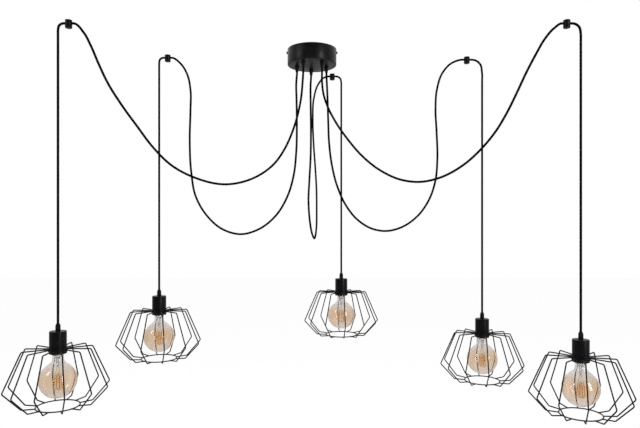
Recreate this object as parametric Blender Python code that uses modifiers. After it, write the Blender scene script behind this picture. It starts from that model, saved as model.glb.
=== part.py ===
"""Cluster pendant light: one ceiling canopy feeds five wire-cage lamps on textile cords.

Metres, +Z up. The origin is the middle of the ceiling face. +X runs along the longest side.
Each cord leaves a gland under the canopy, sags to a ceiling hook, passes through it and
drops to a lamp. A lamp swings on the line through its hook's cord hole, turns as its cord
twists, and its bulb comes out through the bottom ring of the cage.
"""

import math

import bmesh
import bpy
from mathutils import Matrix, Vector

# Fits and cuts
GAP = 0.0003
CUT_OVERRUN = 0.003
WELD_DISTANCE = 0.00001

# Cord
CORD_DIAMETER = 0.0065
CORD_STEP_SHARE = 10.0
CORD_TURN_DEG = 15.0
CORD_SAMPLES = 24
CORD_SIDES_STEPS = 2

# Canopy
CANOPY_RADIUS = 0.075
CANOPY_HEIGHT = 0.048
CANOPY_WALL = 0.0012
CANOPY_CORNER_RADIUS = 0.003
CANOPY_SEGMENTS = 36

# Glands in the canopy's underside
GLAND_COUNT = 5
GLAND_CIRCLE_RADIUS = 0.048
GLAND_START_DEG = 94.0
GLAND_STUB_RADIUS = 0.005
GLAND_STUB_RISE = 0.0055
GLAND_FLANGE_RADIUS = 0.007
GLAND_FLANGE_THICKNESS = 0.002
GLAND_CONE_LENGTH = 0.014
GLAND_TIP_RADIUS = 0.0044
GLAND_SEGMENTS = 10

# Ceiling bracket inside the canopy
BRACKET_WIDTH = 0.020
BRACKET_THICKNESS = 0.0015
BRACKET_TAB_DROP = 0.015
BRACKET_SLOT_WIDTH = 0.005
BRACKET_SLOT_LENGTH = 0.018
BRACKET_SLOT_OFFSET = 0.040
BRACKET_SLOT_STEPS = 6

# Side screws that hold the canopy on its bracket
SCREW_DROP = 0.0085
SCREW_HEAD_RADIUS = 0.004
SCREW_HEAD_LENGTH = 0.0035
SCREW_HEAD_EDGE = 0.0008
SCREW_SHANK_RADIUS = 0.0019
SCREW_SHANK_LENGTH = 0.0065
SCREW_SEGMENTS = 12

# Terminal block under the bracket
TERMINAL_LENGTH = 0.034
TERMINAL_WIDTH = 0.018
TERMINAL_BASE_HEIGHT = 0.005
TERMINAL_BARREL_RADIUS = 0.0045
TERMINAL_BARREL_COUNT = 3
TERMINAL_EDGE = 0.0008
TERMINAL_SEGMENTS = 12

# Ceiling hooks
HOOK_RADIUS = 0.009
HOOK_BASE_HEIGHT = 0.0143
HOOK_CAP_HEIGHT = 0.0064
HOOK_CAP_EDGE = 0.0018
HOOK_CORD_DROP = 0.0084
HOOK_BORE_RADIUS = 0.0058
HOOK_ROOF = 0.0022
HOOK_SCREW_HOLE_RADIUS = 0.0022
HOOK_MOUTH_RUN = 0.0035
HOOK_SEGMENTS = 14
HOLE_SEGMENTS = 10

# Cord grip on top of the lampholder
GRIP_RADIUS = 0.0065
GRIP_BODY_HEIGHT = 0.013
GRIP_CONE_HEIGHT = 0.006
GRIP_TIP_RADIUS = 0.0048
GRIP_STUB_RADIUS = 0.0047
GRIP_STUB_LENGTH = 0.008
GRIP_CORD_DEPTH = 0.016
GRIP_SEGMENTS = 10

# Lampholder
HOLDER_RADIUS = 0.0215
HOLDER_HEIGHT = 0.047
HOLDER_TOP_EDGE = 0.002
HOLDER_FLANGE_RADIUS = 0.026
HOLDER_FLANGE_THICKNESS = 0.003
HOLDER_SKIRT_RADIUS = 0.0197
HOLDER_SKIRT_LENGTH = 0.011
HOLDER_SOCKET_TOP = 0.014
HOLDER_RECESS_DEPTH = 0.0085
HOLDER_SEGMENTS = 16

# Ring nut that clamps the cage plate against the lampholder
NUT_TOP_RADIUS = 0.0245
NUT_BOTTOM_RADIUS = 0.0215
NUT_HEIGHT = 0.011

# Cage, measured from the middle of its top plate
CAGE_WIRE_COUNT = 12
CAGE_WIRE_DIAMETER = 0.0035
CAGE_TOP_RADIUS = 0.086
CAGE_MIDDLE_RADIUS = 0.130
CAGE_MIDDLE_DROP = 0.101
CAGE_BOTTOM_RADIUS = 0.086
CAGE_BOTTOM_DROP = 0.148
CAGE_RING_RADIUS = 0.054
CAGE_RING_DROP = 0.1505
CAGE_RING_SEGMENTS = 24
CAGE_PLATE_RADIUS = 0.029
CAGE_PLATE_THICKNESS = 0.0016
CAGE_PLATE_OVERLAP = 0.002
CAGE_WIRE_SIDES_STEPS = 0
CAGE_WIRE_CORNER_SHARE = 1.25

# Bulb
BULB_RADIUS = 0.0475
BULB_CENTRE_DROP = 0.082
BULB_WALL = 0.0012
BULB_NECK_RADIUS = 0.0145
BULB_NECK_TOP_DROP = 0.015
BULB_NECK_MIDDLE_RADIUS = 0.0180
BULB_NECK_MIDDLE_DROP = 0.028
BULB_SHOULDER_DEG = 38.0
BULB_OUTER_STEPS = 6
BULB_INNER_STEPS = 6
BULB_SEGMENTS = 14
BULB_CAP_RADIUS = 0.0132
BULB_CAP_HEIGHT = 0.0205
BULB_CAP_WALL = 0.0007
BULB_CAP_ROOF = 0.003
BULB_CONTACT_RADIUS = 0.0045
BULB_CONTACT_RISE = 0.005
BULB_STEM_RADIUS = 0.0045
BULB_STEM_LENGTH = 0.032
BULB_POST_RADIUS = 0.0012
BULB_POST_LENGTH = 0.046
BULB_CORE_SEGMENTS = 10

# Ceiling plan of each hook, with its gland, the side its cord drops on and its lamp
HOOK_1_X = -0.638
HOOK_1_Y = -0.245
HOOK_2_X = -0.457
HOOK_2_Y = 0.050
HOOK_3_X = 0.068
HOOK_3_Y = 0.265
HOOK_4_X = 0.494
HOOK_4_Y = 0.070
HOOK_5_X = 0.675
HOOK_5_Y = -0.245
LAMP_1_OFFSET = 0.028
LAMP_2_OFFSET = 0.027
LAMP_3_OFFSET = 0.032
LAMP_4_OFFSET = 0.049
LAMP_5_OFFSET = 0.037
LAMP_1_DROP = 0.866
LAMP_2_DROP = 0.808
LAMP_3_DROP = 0.772
LAMP_4_DROP = 0.883
LAMP_5_DROP = 0.888

# How far each cage hangs turned about its cord, as the photograph shows its wires
CAGE_1_TURN_DEG = 1.5
CAGE_2_TURN_DEG = 22.5
CAGE_3_TURN_DEG = 4.0
CAGE_4_TURN_DEG = 22.5
CAGE_5_TURN_DEG = 12.5

# Shape of the bend below a hook, in shares of its reach sideways
DROP_BEND_SHARES = ((0.50, 0.10), (0.86, 0.45), (0.985, 1.05), (1.0, 2.0))

# Straight stretches of a drop below its bend
DROP_PLUMB_STEPS = 4

# Free route of each swag from under its gland to beside its hook
SWAG_ROUTES = {
    1: (
        (-0.028, -0.042, -0.115),
        (-0.032, -0.043, -0.157),
        (-0.043, -0.047, -0.212),
        (-0.058, -0.052, -0.261),
        (-0.079, -0.059, -0.310),
        (-0.111, -0.069, -0.358),
        (-0.168, -0.088, -0.401),
        (-0.248, -0.115, -0.422),
        (-0.327, -0.142, -0.406),
        (-0.390, -0.162, -0.372),
        (-0.434, -0.177, -0.327),
        (-0.477, -0.191, -0.267),
        (-0.515, -0.204, -0.211),
        (-0.546, -0.215, -0.158),
        (-0.568, -0.224, -0.107),
        (-0.585, -0.233, -0.062),
        (-0.600, -0.241, -0.031),
    ),
    2: (
        (-0.049, 0.012, -0.101),
        (-0.048, 0.012, -0.151),
        (-0.047, 0.012, -0.228),
        (-0.049, 0.012, -0.312),
        (-0.057, 0.013, -0.384),
        (-0.076, 0.014, -0.448),
        (-0.114, 0.018, -0.510),
        (-0.165, 0.023, -0.550),
        (-0.222, 0.028, -0.566),
        (-0.282, 0.034, -0.550),
        (-0.334, 0.039, -0.504),
        (-0.367, 0.042, -0.446),
        (-0.381, 0.043, -0.370),
        (-0.386, 0.044, -0.269),
        (-0.384, 0.045, -0.179),
        (-0.384, 0.046, -0.112),
        (-0.395, 0.048, -0.061),
        (-0.418, 0.050, -0.025),
    ),
    3: (
        (-0.005, 0.048, -0.092),
        (-0.005, 0.048, -0.155),
        (-0.004, 0.048, -0.237),
        (-0.005, 0.049, -0.319),
        (-0.009, 0.052, -0.395),
        (-0.012, 0.058, -0.458),
        (-0.009, 0.072, -0.515),
        (-0.003, 0.100, -0.558),
        (0.006, 0.151, -0.581),
        (0.012, 0.207, -0.548),
        (0.013, 0.243, -0.480),
        (0.012, 0.255, -0.405),
        (0.008, 0.260, -0.335),
        (0.002, 0.263, -0.248),
        (-0.001, 0.264, -0.160),
        (0.003, 0.265, -0.085),
        (0.018, 0.265, -0.037),
        (0.037, 0.265, -0.014),
    ),
    4: (
        (0.046, 0.018, -0.100),
        (0.048, 0.018, -0.145),
        (0.050, 0.019, -0.211),
        (0.053, 0.019, -0.284),
        (0.061, 0.020, -0.348),
        (0.076, 0.022, -0.410),
        (0.103, 0.025, -0.472),
        (0.143, 0.029, -0.522),
        (0.188, 0.035, -0.549),
        (0.235, 0.040, -0.556),
        (0.280, 0.045, -0.545),
        (0.333, 0.051, -0.509),
        (0.371, 0.056, -0.456),
        (0.391, 0.059, -0.398),
        (0.398, 0.061, -0.326),
        (0.396, 0.063, -0.240),
        (0.393, 0.065, -0.168),
        (0.398, 0.067, -0.104),
        (0.416, 0.069, -0.051),
        (0.446, 0.070, -0.019),
    ),
    5: (
        (0.031, -0.037, -0.112),
        (0.035, -0.038, -0.144),
        (0.048, -0.042, -0.184),
        (0.075, -0.051, -0.237),
        (0.108, -0.062, -0.286),
        (0.149, -0.075, -0.336),
        (0.202, -0.093, -0.381),
        (0.256, -0.110, -0.408),
        (0.311, -0.128, -0.416),
        (0.364, -0.144, -0.405),
        (0.426, -0.165, -0.370),
        (0.471, -0.180, -0.327),
        (0.505, -0.191, -0.283),
        (0.534, -0.201, -0.231),
        (0.557, -0.210, -0.180),
        (0.579, -0.220, -0.128),
        (0.600, -0.230, -0.084),
        (0.620, -0.238, -0.047),
        (0.643, -0.244, -0.020),
    ),
}

# Sizes that follow from the ones above
CORD_RADIUS = CORD_DIAMETER / 2
CORD_BORE_RADIUS = CORD_RADIUS + GAP
CORD_STEP = CORD_STEP_SHARE * CORD_DIAMETER
GLAND_FACE_Z = -CANOPY_HEIGHT - GAP
GLAND_TIP_Z = GLAND_FACE_Z - GLAND_FLANGE_THICKNESS - GLAND_CONE_LENGTH
GRIP_FOOT_Z = HOLDER_HEIGHT + GAP
GRIP_TOP_Z = GRIP_FOOT_Z + GRIP_BODY_HEIGHT + GRIP_CONE_HEIGHT
PLATE_FACE_Z = CAGE_PLATE_THICKNESS / 2
HOLDER_SOCKET_RADIUS = BULB_CAP_RADIUS + 2 * GAP
NUT_INNER_RADIUS = HOLDER_SKIRT_RADIUS + GAP

# Names, colours, roughness and metallic value of the finishes
FINISHES = {
    "black_paint": ((0.016, 0.016, 0.018, 1.0), 0.45, 0.0),
    "zinc_steel": ((0.55, 0.56, 0.57, 1.0), 0.35, 1.0),
    "black_plastic": ((0.012, 0.012, 0.013, 1.0), 0.35, 0.0),
    "white_plastic": ((0.75, 0.75, 0.72, 1.0), 0.5, 0.0),
    "black_textile": ((0.010, 0.010, 0.010, 1.0), 0.85, 0.0),
    "black_wire": ((0.012, 0.012, 0.012, 1.0), 0.4, 0.0),
    "amber_glass": ((0.85, 0.55, 0.25, 0.35), 0.05, 0.0),
    "nickel_cap": ((0.62, 0.60, 0.56, 1.0), 0.3, 1.0),
}


def hook_layout():
    """One row per lamp: hook X and Y, side of the drop, gland turn, offset and drop of the lamp."""
    return {
        1: (HOOK_1_X, HOOK_1_Y, -1.0, 2, LAMP_1_OFFSET, LAMP_1_DROP),
        2: (HOOK_2_X, HOOK_2_Y, -1.0, 1, LAMP_2_OFFSET, LAMP_2_DROP),
        3: (HOOK_3_X, HOOK_3_Y, 1.0, 0, LAMP_3_OFFSET, LAMP_3_DROP),
        4: (HOOK_4_X, HOOK_4_Y, 1.0, 4, LAMP_4_OFFSET, LAMP_4_DROP),
        5: (HOOK_5_X, HOOK_5_Y, 1.0, 3, LAMP_5_OFFSET, LAMP_5_DROP),
    }


def cage_turns():
    """Turn of each lamp's cage about its cord, in degrees."""
    return {
        1: CAGE_1_TURN_DEG,
        2: CAGE_2_TURN_DEG,
        3: CAGE_3_TURN_DEG,
        4: CAGE_4_TURN_DEG,
        5: CAGE_5_TURN_DEG,
    }


def clear_scene():
    """Remove every object and collection that the file opened with."""
    for item in list(bpy.data.objects):
        bpy.data.objects.remove(item, do_unlink=True)
    for group in list(bpy.data.collections):
        bpy.data.collections.remove(group)


def make_collection(name, shown):
    """Add a collection to the scene, shown or kept out of the render."""
    group = bpy.data.collections.new(name)
    bpy.context.scene.collection.children.link(group)
    group.hide_render = not shown
    return group


def make_finishes():
    """Build one Principled material for each finish in the table."""
    finishes = {}
    for name, (colour, roughness, metallic) in FINISHES.items():
        finish = bpy.data.materials.new(name)
        finish.use_nodes = True
        shader = finish.node_tree.nodes["Principled BSDF"]
        shader.inputs["Base Color"].default_value = colour
        shader.inputs["Roughness"].default_value = roughness
        shader.inputs["Metallic"].default_value = metallic
        shader.inputs["Alpha"].default_value = colour[3]
        finish.diffuse_color = colour
        finishes[name] = finish
    return finishes


def make_empty(name, group, parent, place):
    """Add an empty at a world place, carried by its parent empty."""
    empty = bpy.data.objects.new(name, None)
    group.objects.link(empty)
    attach(empty, parent, place)
    return empty


def attach(item, parent, place):
    """Put an object at a world place under a parent that is itself not turned."""
    item["world_place"] = place
    if parent is None:
        item.location = place
    else:
        item.parent = parent
        item.location = Vector(place) - Vector(parent["world_place"])


def add_piece(name, mesh, finish, group, parent, place):
    """Add one named piece with its finish, smooth over its round faces."""
    piece = bpy.data.objects.new(name, mesh)
    group.objects.link(piece)
    if not mesh.materials:
        mesh.materials.append(finish)
    mesh.shade_smooth()
    mesh.set_sharp_from_angle(angle=math.radians(35))
    attach(piece, parent, place)
    return piece


def evaluated_mesh(item):
    """Return the mesh that the viewport shows for an object, as new data."""
    graph = bpy.context.evaluated_depsgraph_get()
    graph.update()
    return bpy.data.meshes.new_from_object(item.evaluated_get(graph))


def discard(*items):
    """Remove helper objects that a finished mesh no longer needs."""
    for item in items:
        bpy.data.objects.remove(item, do_unlink=True)


def arc(centre_x, centre_z, radius, start_deg, end_deg, steps):
    """Points of an arc in the X-Z plane, ends included."""
    points = []
    for step in range(steps + 1):
        angle = math.radians(start_deg + (end_deg - start_deg) * step / steps)
        points.append((centre_x + radius * math.cos(angle), centre_z + radius * math.sin(angle)))
    return points


def turned_mesh(name, profile, segments, closed, helpers):
    """Spin a profile in the X-Z plane once around Z. The outer side runs down."""
    outline = bpy.data.meshes.new(name)
    edges = [(index, index + 1) for index in range(len(profile) - 1)]
    if closed:
        edges.append((len(profile) - 1, 0))
    outline.from_pydata([(x, 0, z) for x, z in profile], edges, [])
    item = bpy.data.objects.new(name, outline)
    helpers.objects.link(item)
    screw = item.modifiers.new("spin", "SCREW")
    screw.steps = segments
    screw.render_steps = segments
    screw.use_merge_vertices = True
    screw.merge_threshold = WELD_DISTANCE
    screw.use_normal_calculate = False
    mesh = evaluated_mesh(item)
    discard(item)
    mesh.name = name
    return mesh


def tube_curve(name, points, radius, level, closed):
    """Curve data of a round tube along straight stretches, with filled ends."""
    data = bpy.data.curves.new(name, "CURVE")
    data.dimensions = "3D"
    data.bevel_depth = radius
    data.bevel_resolution = level
    data.use_fill_caps = not closed
    spline = data.splines.new("POLY")
    spline.points.add(len(points) - 1)
    for spot, point in zip(spline.points, points):
        spot.co = (*point, 1.0)
    spline.use_cyclic_u = closed
    return data


def tube_mesh(name, points, radius, level, closed, helpers):
    """Mesh of a round tube, its caps welded on."""
    item = bpy.data.objects.new(name, tube_curve(name, points, radius, level, closed))
    helpers.objects.link(item)
    mesh = evaluated_mesh(item)
    discard(item)
    shape = bmesh.new()
    shape.from_mesh(mesh)
    bmesh.ops.remove_doubles(shape, verts=shape.verts, dist=WELD_DISTANCE)
    shape.to_mesh(mesh)
    shape.free()
    return mesh


def cylinder_mesh(name, radius, length, segments, turn):
    """Mesh of a plain cylinder about its middle, turned by a matrix."""
    shape = bmesh.new()
    bmesh.ops.create_cone(
        shape, cap_ends=True, segments=segments, radius1=radius, radius2=radius, depth=length, matrix=turn
    )
    mesh = bpy.data.meshes.new(name)
    shape.to_mesh(mesh)
    shape.free()
    return mesh


def combined_mesh(mesh, others, operation, helpers):
    """Union or difference of a mesh with a list of (mesh, matrix) pairs, one after the other."""
    base = bpy.data.objects.new(mesh.name, mesh)
    helpers.objects.link(base)
    tools = []
    for other, matrix in others:
        tool = bpy.data.objects.new(other.name, other)
        helpers.objects.link(tool)
        tool.matrix_world = matrix
        tool.display_type = "WIRE"
        tool.hide_render = True
        step = base.modifiers.new(other.name, "BOOLEAN")
        step.operation = operation
        step.solver = "EXACT"
        step.object = tool
        tools.append(tool)
    bpy.context.view_layer.update()
    result = evaluated_mesh(base)
    result.name = mesh.name
    discard(base, *tools)
    return result


def smooth_path(route, start_way, end_way):
    """Read points off a smooth curve through the route, closer together where it bends."""
    spots = [Vector(point) for point in route]
    spans = [(after - before).length for before, after in zip(spots, spots[1:])]
    ways = [Vector(start_way)]
    for index in range(1, len(spots) - 1):
        back = (spots[index] - spots[index - 1]) / spans[index - 1]
        ahead = (spots[index + 1] - spots[index]) / spans[index]
        ways.append((back * spans[index] + ahead * spans[index - 1]) / (spans[index - 1] + spans[index]))
    ways.append(Vector(end_way))
    dense = []
    for index, span in enumerate(spans):
        for sample in range(CORD_SAMPLES):
            t = sample / CORD_SAMPLES
            point = spots[index] * (2 * t**3 - 3 * t**2 + 1)
            point += ways[index] * (span * (t**3 - 2 * t**2 + t))
            point += spots[index + 1] * (3 * t**2 - 2 * t**3)
            point += ways[index + 1] * (span * (t**3 - t**2))
            dense.append(point)
    dense.append(spots[-1])
    return thinned_path(dense)


def thinned_path(dense):
    """Keep the points of a dense path that its length and its turning ask for."""
    costs = [0.0]
    for index in range(1, len(dense)):
        step = dense[index] - dense[index - 1]
        turn = 0.0
        if index + 1 < len(dense):
            turn = math.degrees(step.angle(dense[index + 1] - dense[index], 0.0))
        costs.append(costs[-1] + step.length / CORD_STEP + turn / CORD_TURN_DEG)
    pieces = math.ceil(costs[-1])
    kept = [dense[0]]
    for piece in range(1, pieces):
        target = costs[-1] * piece / pieces
        nearest = min(range(len(dense)), key=lambda index: abs(costs[index] - target))
        kept.append(dense[nearest])
    kept.append(dense[-1])
    return kept


def gland_place(turn):
    """World X and Y of one gland on the canopy's circle."""
    angle = math.radians(GLAND_START_DEG) + math.tau * turn / GLAND_COUNT
    return GLAND_CIRCLE_RADIUS * math.cos(angle), GLAND_CIRCLE_RADIUS * math.sin(angle)


def canopy_mesh(helpers):
    """Drawn cup with a flat underside, five gland holes and two side screw holes."""
    inner = CANOPY_RADIUS - CANOPY_WALL
    floor = -CANOPY_HEIGHT + CANOPY_WALL
    inner_corner = CANOPY_CORNER_RADIUS - CANOPY_WALL
    profile = [(0, floor)]
    profile += arc(inner - inner_corner, floor + inner_corner, inner_corner, -90, 0, 2)
    profile += [(inner, 0), (CANOPY_RADIUS, 0)]
    profile += arc(
        CANOPY_RADIUS - CANOPY_CORNER_RADIUS,
        -CANOPY_HEIGHT + CANOPY_CORNER_RADIUS,
        CANOPY_CORNER_RADIUS,
        0,
        -90,
        3,
    )
    profile.append((0, -CANOPY_HEIGHT))
    cup = turned_mesh("canopy_cup", profile, CANOPY_SEGMENTS, False, helpers)
    hole = cylinder_mesh(
        "gland_hole", GLAND_STUB_RADIUS + GAP, CANOPY_WALL + 2 * CUT_OVERRUN, GLAND_SEGMENTS, Matrix()
    )
    cuts = []
    for turn in range(GLAND_COUNT):
        x, y = gland_place(turn)
        cuts.append((hole, Matrix.Translation((x, y, -CANOPY_HEIGHT + CANOPY_WALL / 2))))
    cuts.append((screw_hole_mesh(), Matrix.Translation((0, 0, -SCREW_DROP))))
    return combined_mesh(cup, cuts, "DIFFERENCE", helpers)


def screw_hole_mesh():
    """Cutter along X for both side screw holes."""
    length = 2 * (CANOPY_RADIUS + CUT_OVERRUN)
    turn = Matrix.Rotation(math.radians(90), 4, "Y")
    return cylinder_mesh("screw_hole", SCREW_SHANK_RADIUS + GAP, length, SCREW_SEGMENTS, turn)


def bracket_mesh(helpers):
    """Steel strap with two fixing slots, its ends bent down inside the canopy wall."""
    reach = CANOPY_RADIUS - CANOPY_WALL - GAP
    side = math.sqrt(reach**2 - (BRACKET_WIDTH / 2) ** 2)
    shape = bmesh.new()
    corners = [(-side, -BRACKET_TAB_DROP), (-side, 0), (side, 0), (side, -BRACKET_TAB_DROP)]
    verts = [shape.verts.new((x, -BRACKET_WIDTH / 2, z)) for x, z in corners]
    edges = [shape.edges.new(pair) for pair in zip(verts, verts[1:])]
    swept = bmesh.ops.extrude_edge_only(shape, edges=edges)
    moved = [item for item in swept["geom"] if isinstance(item, bmesh.types.BMVert)]
    bmesh.ops.translate(shape, verts=moved, vec=(0, BRACKET_WIDTH, 0))
    bmesh.ops.recalc_face_normals(shape, faces=shape.faces)
    strap = bpy.data.meshes.new("ceiling_bracket")
    shape.to_mesh(strap)
    upward = max(strap.polygons, key=lambda face: face.center.z).normal.z > 0
    shape.free()
    item = bpy.data.objects.new("ceiling_bracket", strap)
    helpers.objects.link(item)
    wall = item.modifiers.new("wall", "SOLIDIFY")
    wall.thickness = BRACKET_THICKNESS
    wall.offset = -1.0 if upward else 1.0
    wall.use_even_offset = True
    solid = evaluated_mesh(item)
    solid.name = "ceiling_bracket"
    discard(item)
    slot = slot_mesh()
    cuts = [(slot, Matrix.Translation((side_sign * BRACKET_SLOT_OFFSET, 0, 0))) for side_sign in (-1, 1)]
    cuts.append((screw_hole_mesh(), Matrix.Translation((0, 0, -SCREW_DROP))))
    return combined_mesh(solid, cuts, "DIFFERENCE", helpers)


def slot_mesh():
    """Cutter for one round-ended slot along X."""
    shape = bmesh.new()
    radius = BRACKET_SLOT_WIDTH / 2
    straight = BRACKET_SLOT_LENGTH / 2 - radius
    points = arc(straight, 0, radius, -90, 90, BRACKET_SLOT_STEPS)
    points += arc(-straight, 0, radius, 90, 270, BRACKET_SLOT_STEPS)
    depth = BRACKET_THICKNESS + CUT_OVERRUN
    face = shape.faces.new([shape.verts.new((x, y, -depth)) for x, y in points])
    raised = bmesh.ops.extrude_face_region(shape, geom=[face])
    moved = [item for item in raised["geom"] if isinstance(item, bmesh.types.BMVert)]
    bmesh.ops.translate(shape, verts=moved, vec=(0, 0, depth + CUT_OVERRUN))
    bmesh.ops.recalc_face_normals(shape, faces=shape.faces)
    mesh = bpy.data.meshes.new("fixing_slot")
    shape.to_mesh(mesh)
    shape.free()
    return mesh


def screw_mesh(helpers):
    """Side screw along Z: its head stands out upwards, its shank points down."""
    inner_end = -SCREW_SHANK_LENGTH
    profile = [
        (0, GAP + SCREW_HEAD_LENGTH),
        (SCREW_HEAD_RADIUS - SCREW_HEAD_EDGE, GAP + SCREW_HEAD_LENGTH),
        (SCREW_HEAD_RADIUS, GAP + SCREW_HEAD_LENGTH - SCREW_HEAD_EDGE),
        (SCREW_HEAD_RADIUS, GAP),
        (SCREW_SHANK_RADIUS, GAP),
        (SCREW_SHANK_RADIUS, inner_end),
        (0, inner_end),
    ]
    return turned_mesh("side_screw", profile, SCREW_SEGMENTS, False, helpers)


def terminal_mesh(helpers):
    """Three-way terminal block: a flat base carrying three barrels."""
    shape = bmesh.new()
    bmesh.ops.create_cube(shape, size=1.0)
    bmesh.ops.scale(shape, verts=shape.verts, vec=(TERMINAL_LENGTH, TERMINAL_WIDTH, TERMINAL_BASE_HEIGHT))
    bmesh.ops.bevel(
        shape, geom=shape.edges[:], offset=TERMINAL_EDGE, segments=1, profile=0.5, affect="EDGES", material=-1
    )
    base = bpy.data.meshes.new("terminal_block")
    shape.to_mesh(base)
    shape.free()
    barrel_length = TERMINAL_WIDTH - 2 * TERMINAL_EDGE
    turn = Matrix.Rotation(math.radians(90), 4, "X")
    barrel = cylinder_mesh("barrel", TERMINAL_BARREL_RADIUS, barrel_length, TERMINAL_SEGMENTS, turn)
    pitch = TERMINAL_LENGTH / TERMINAL_BARREL_COUNT
    drop = TERMINAL_BASE_HEIGHT / 2
    joined = []
    for index in range(TERMINAL_BARREL_COUNT):
        x = (index - (TERMINAL_BARREL_COUNT - 1) / 2) * pitch
        joined.append((barrel, Matrix.Translation((x, 0, -drop))))
    return combined_mesh(base, joined, "UNION", helpers)


def gland_mesh(helpers):
    """Cord gland, turned with its flange face at zero: stub up through the hole, cone down."""
    stub_top = GAP + CANOPY_WALL + GLAND_STUB_RISE
    tip = -GLAND_FLANGE_THICKNESS - GLAND_CONE_LENGTH
    profile = [
        (CORD_BORE_RADIUS, stub_top),
        (GLAND_STUB_RADIUS, stub_top),
        (GLAND_STUB_RADIUS, 0),
        (GLAND_FLANGE_RADIUS, 0),
        (GLAND_FLANGE_RADIUS, -GLAND_FLANGE_THICKNESS),
        (GLAND_TIP_RADIUS, tip),
        (CORD_BORE_RADIUS, tip),
    ]
    return turned_mesh("cord_gland", profile, GLAND_SEGMENTS, True, helpers)


def hook_base_mesh(helpers):
    """Hook base, turned from the ceiling down, with a bore from below and a cross hole for the cord."""
    profile = [
        (HOOK_SCREW_HOLE_RADIUS, 0),
        (HOOK_RADIUS, 0),
        (HOOK_RADIUS, -HOOK_BASE_HEIGHT),
        (HOOK_BORE_RADIUS, -HOOK_BASE_HEIGHT),
        (HOOK_BORE_RADIUS, -HOOK_ROOF),
        (HOOK_SCREW_HOLE_RADIUS, -HOOK_ROOF),
    ]
    base = turned_mesh("hook_base", profile, HOOK_SEGMENTS, True, helpers)
    turn = Matrix.Rotation(math.radians(90), 4, "Y")
    length = 2 * (HOOK_RADIUS + CUT_OVERRUN)
    hole = cylinder_mesh("cord_hole", CORD_BORE_RADIUS, length, HOLE_SEGMENTS, turn)
    return combined_mesh(base, [(hole, Matrix.Translation((0, 0, -HOOK_CORD_DROP)))], "DIFFERENCE", helpers)


def hook_cap_mesh(helpers):
    """Screw cap of a hook: a rounded foot and the stud that pinches the cord."""
    top = -HOOK_BASE_HEIGHT - GAP
    bottom = top - HOOK_CAP_HEIGHT
    stud_top = -HOOK_CORD_DROP - CORD_RADIUS - GAP
    stud_radius = HOOK_BORE_RADIUS - GAP
    profile = [
        (0, stud_top),
        (stud_radius, stud_top),
        (stud_radius, top),
        (HOOK_RADIUS, top),
    ]
    profile += arc(HOOK_RADIUS - HOOK_CAP_EDGE, bottom + HOOK_CAP_EDGE, HOOK_CAP_EDGE, 0, -90, 1)
    profile.append((0, bottom))
    return turned_mesh("hook_cap", profile, HOOK_SEGMENTS, False, helpers)


def grip_mesh(helpers):
    """Cord grip: a straight collar with a tapered top, and a stub into the lampholder."""
    body_top = GRIP_FOOT_Z + GRIP_BODY_HEIGHT
    stub_end = GRIP_FOOT_Z - GRIP_STUB_LENGTH
    profile = [
        (CORD_BORE_RADIUS, GRIP_TOP_Z),
        (GRIP_TIP_RADIUS, GRIP_TOP_Z),
        (GRIP_RADIUS, body_top),
        (GRIP_RADIUS, GRIP_FOOT_Z),
        (GRIP_STUB_RADIUS, GRIP_FOOT_Z),
        (GRIP_STUB_RADIUS, stub_end),
        (CORD_BORE_RADIUS, stub_end),
    ]
    return turned_mesh("cord_grip", profile, GRIP_SEGMENTS, True, helpers)


def holder_mesh(helpers):
    """Lampholder: a barrel with a recess for the grip, a clamping flange, a skirt and a socket."""
    flange_foot = PLATE_FACE_Z + GAP
    flange_top = flange_foot + HOLDER_FLANGE_THICKNESS
    recess_radius = GRIP_STUB_RADIUS + GAP
    recess_floor = HOLDER_HEIGHT - HOLDER_RECESS_DEPTH
    profile = [
        (0, recess_floor),
        (recess_radius, recess_floor),
        (recess_radius, HOLDER_HEIGHT),
        (HOLDER_RADIUS - HOLDER_TOP_EDGE, HOLDER_HEIGHT),
        (HOLDER_RADIUS, HOLDER_HEIGHT - HOLDER_TOP_EDGE),
        (HOLDER_RADIUS, flange_top),
        (HOLDER_FLANGE_RADIUS, flange_top),
        (HOLDER_FLANGE_RADIUS, flange_foot),
        (HOLDER_SKIRT_RADIUS, flange_foot),
        (HOLDER_SKIRT_RADIUS, -HOLDER_SKIRT_LENGTH),
        (HOLDER_SOCKET_RADIUS, -HOLDER_SKIRT_LENGTH),
        (HOLDER_SOCKET_RADIUS, HOLDER_SOCKET_TOP),
        (0, HOLDER_SOCKET_TOP),
    ]
    return turned_mesh("lampholder", profile, HOLDER_SEGMENTS, False, helpers)


def nut_mesh(helpers):
    """Tapered ring nut on the lampholder's skirt, under the cage plate."""
    top = -PLATE_FACE_Z - GAP
    profile = [
        (NUT_INNER_RADIUS, top),
        (NUT_TOP_RADIUS, top),
        (NUT_BOTTOM_RADIUS, top - NUT_HEIGHT),
        (NUT_INNER_RADIUS, top - NUT_HEIGHT),
    ]
    return turned_mesh("ring_nut", profile, HOLDER_SEGMENTS, True, helpers)


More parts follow.
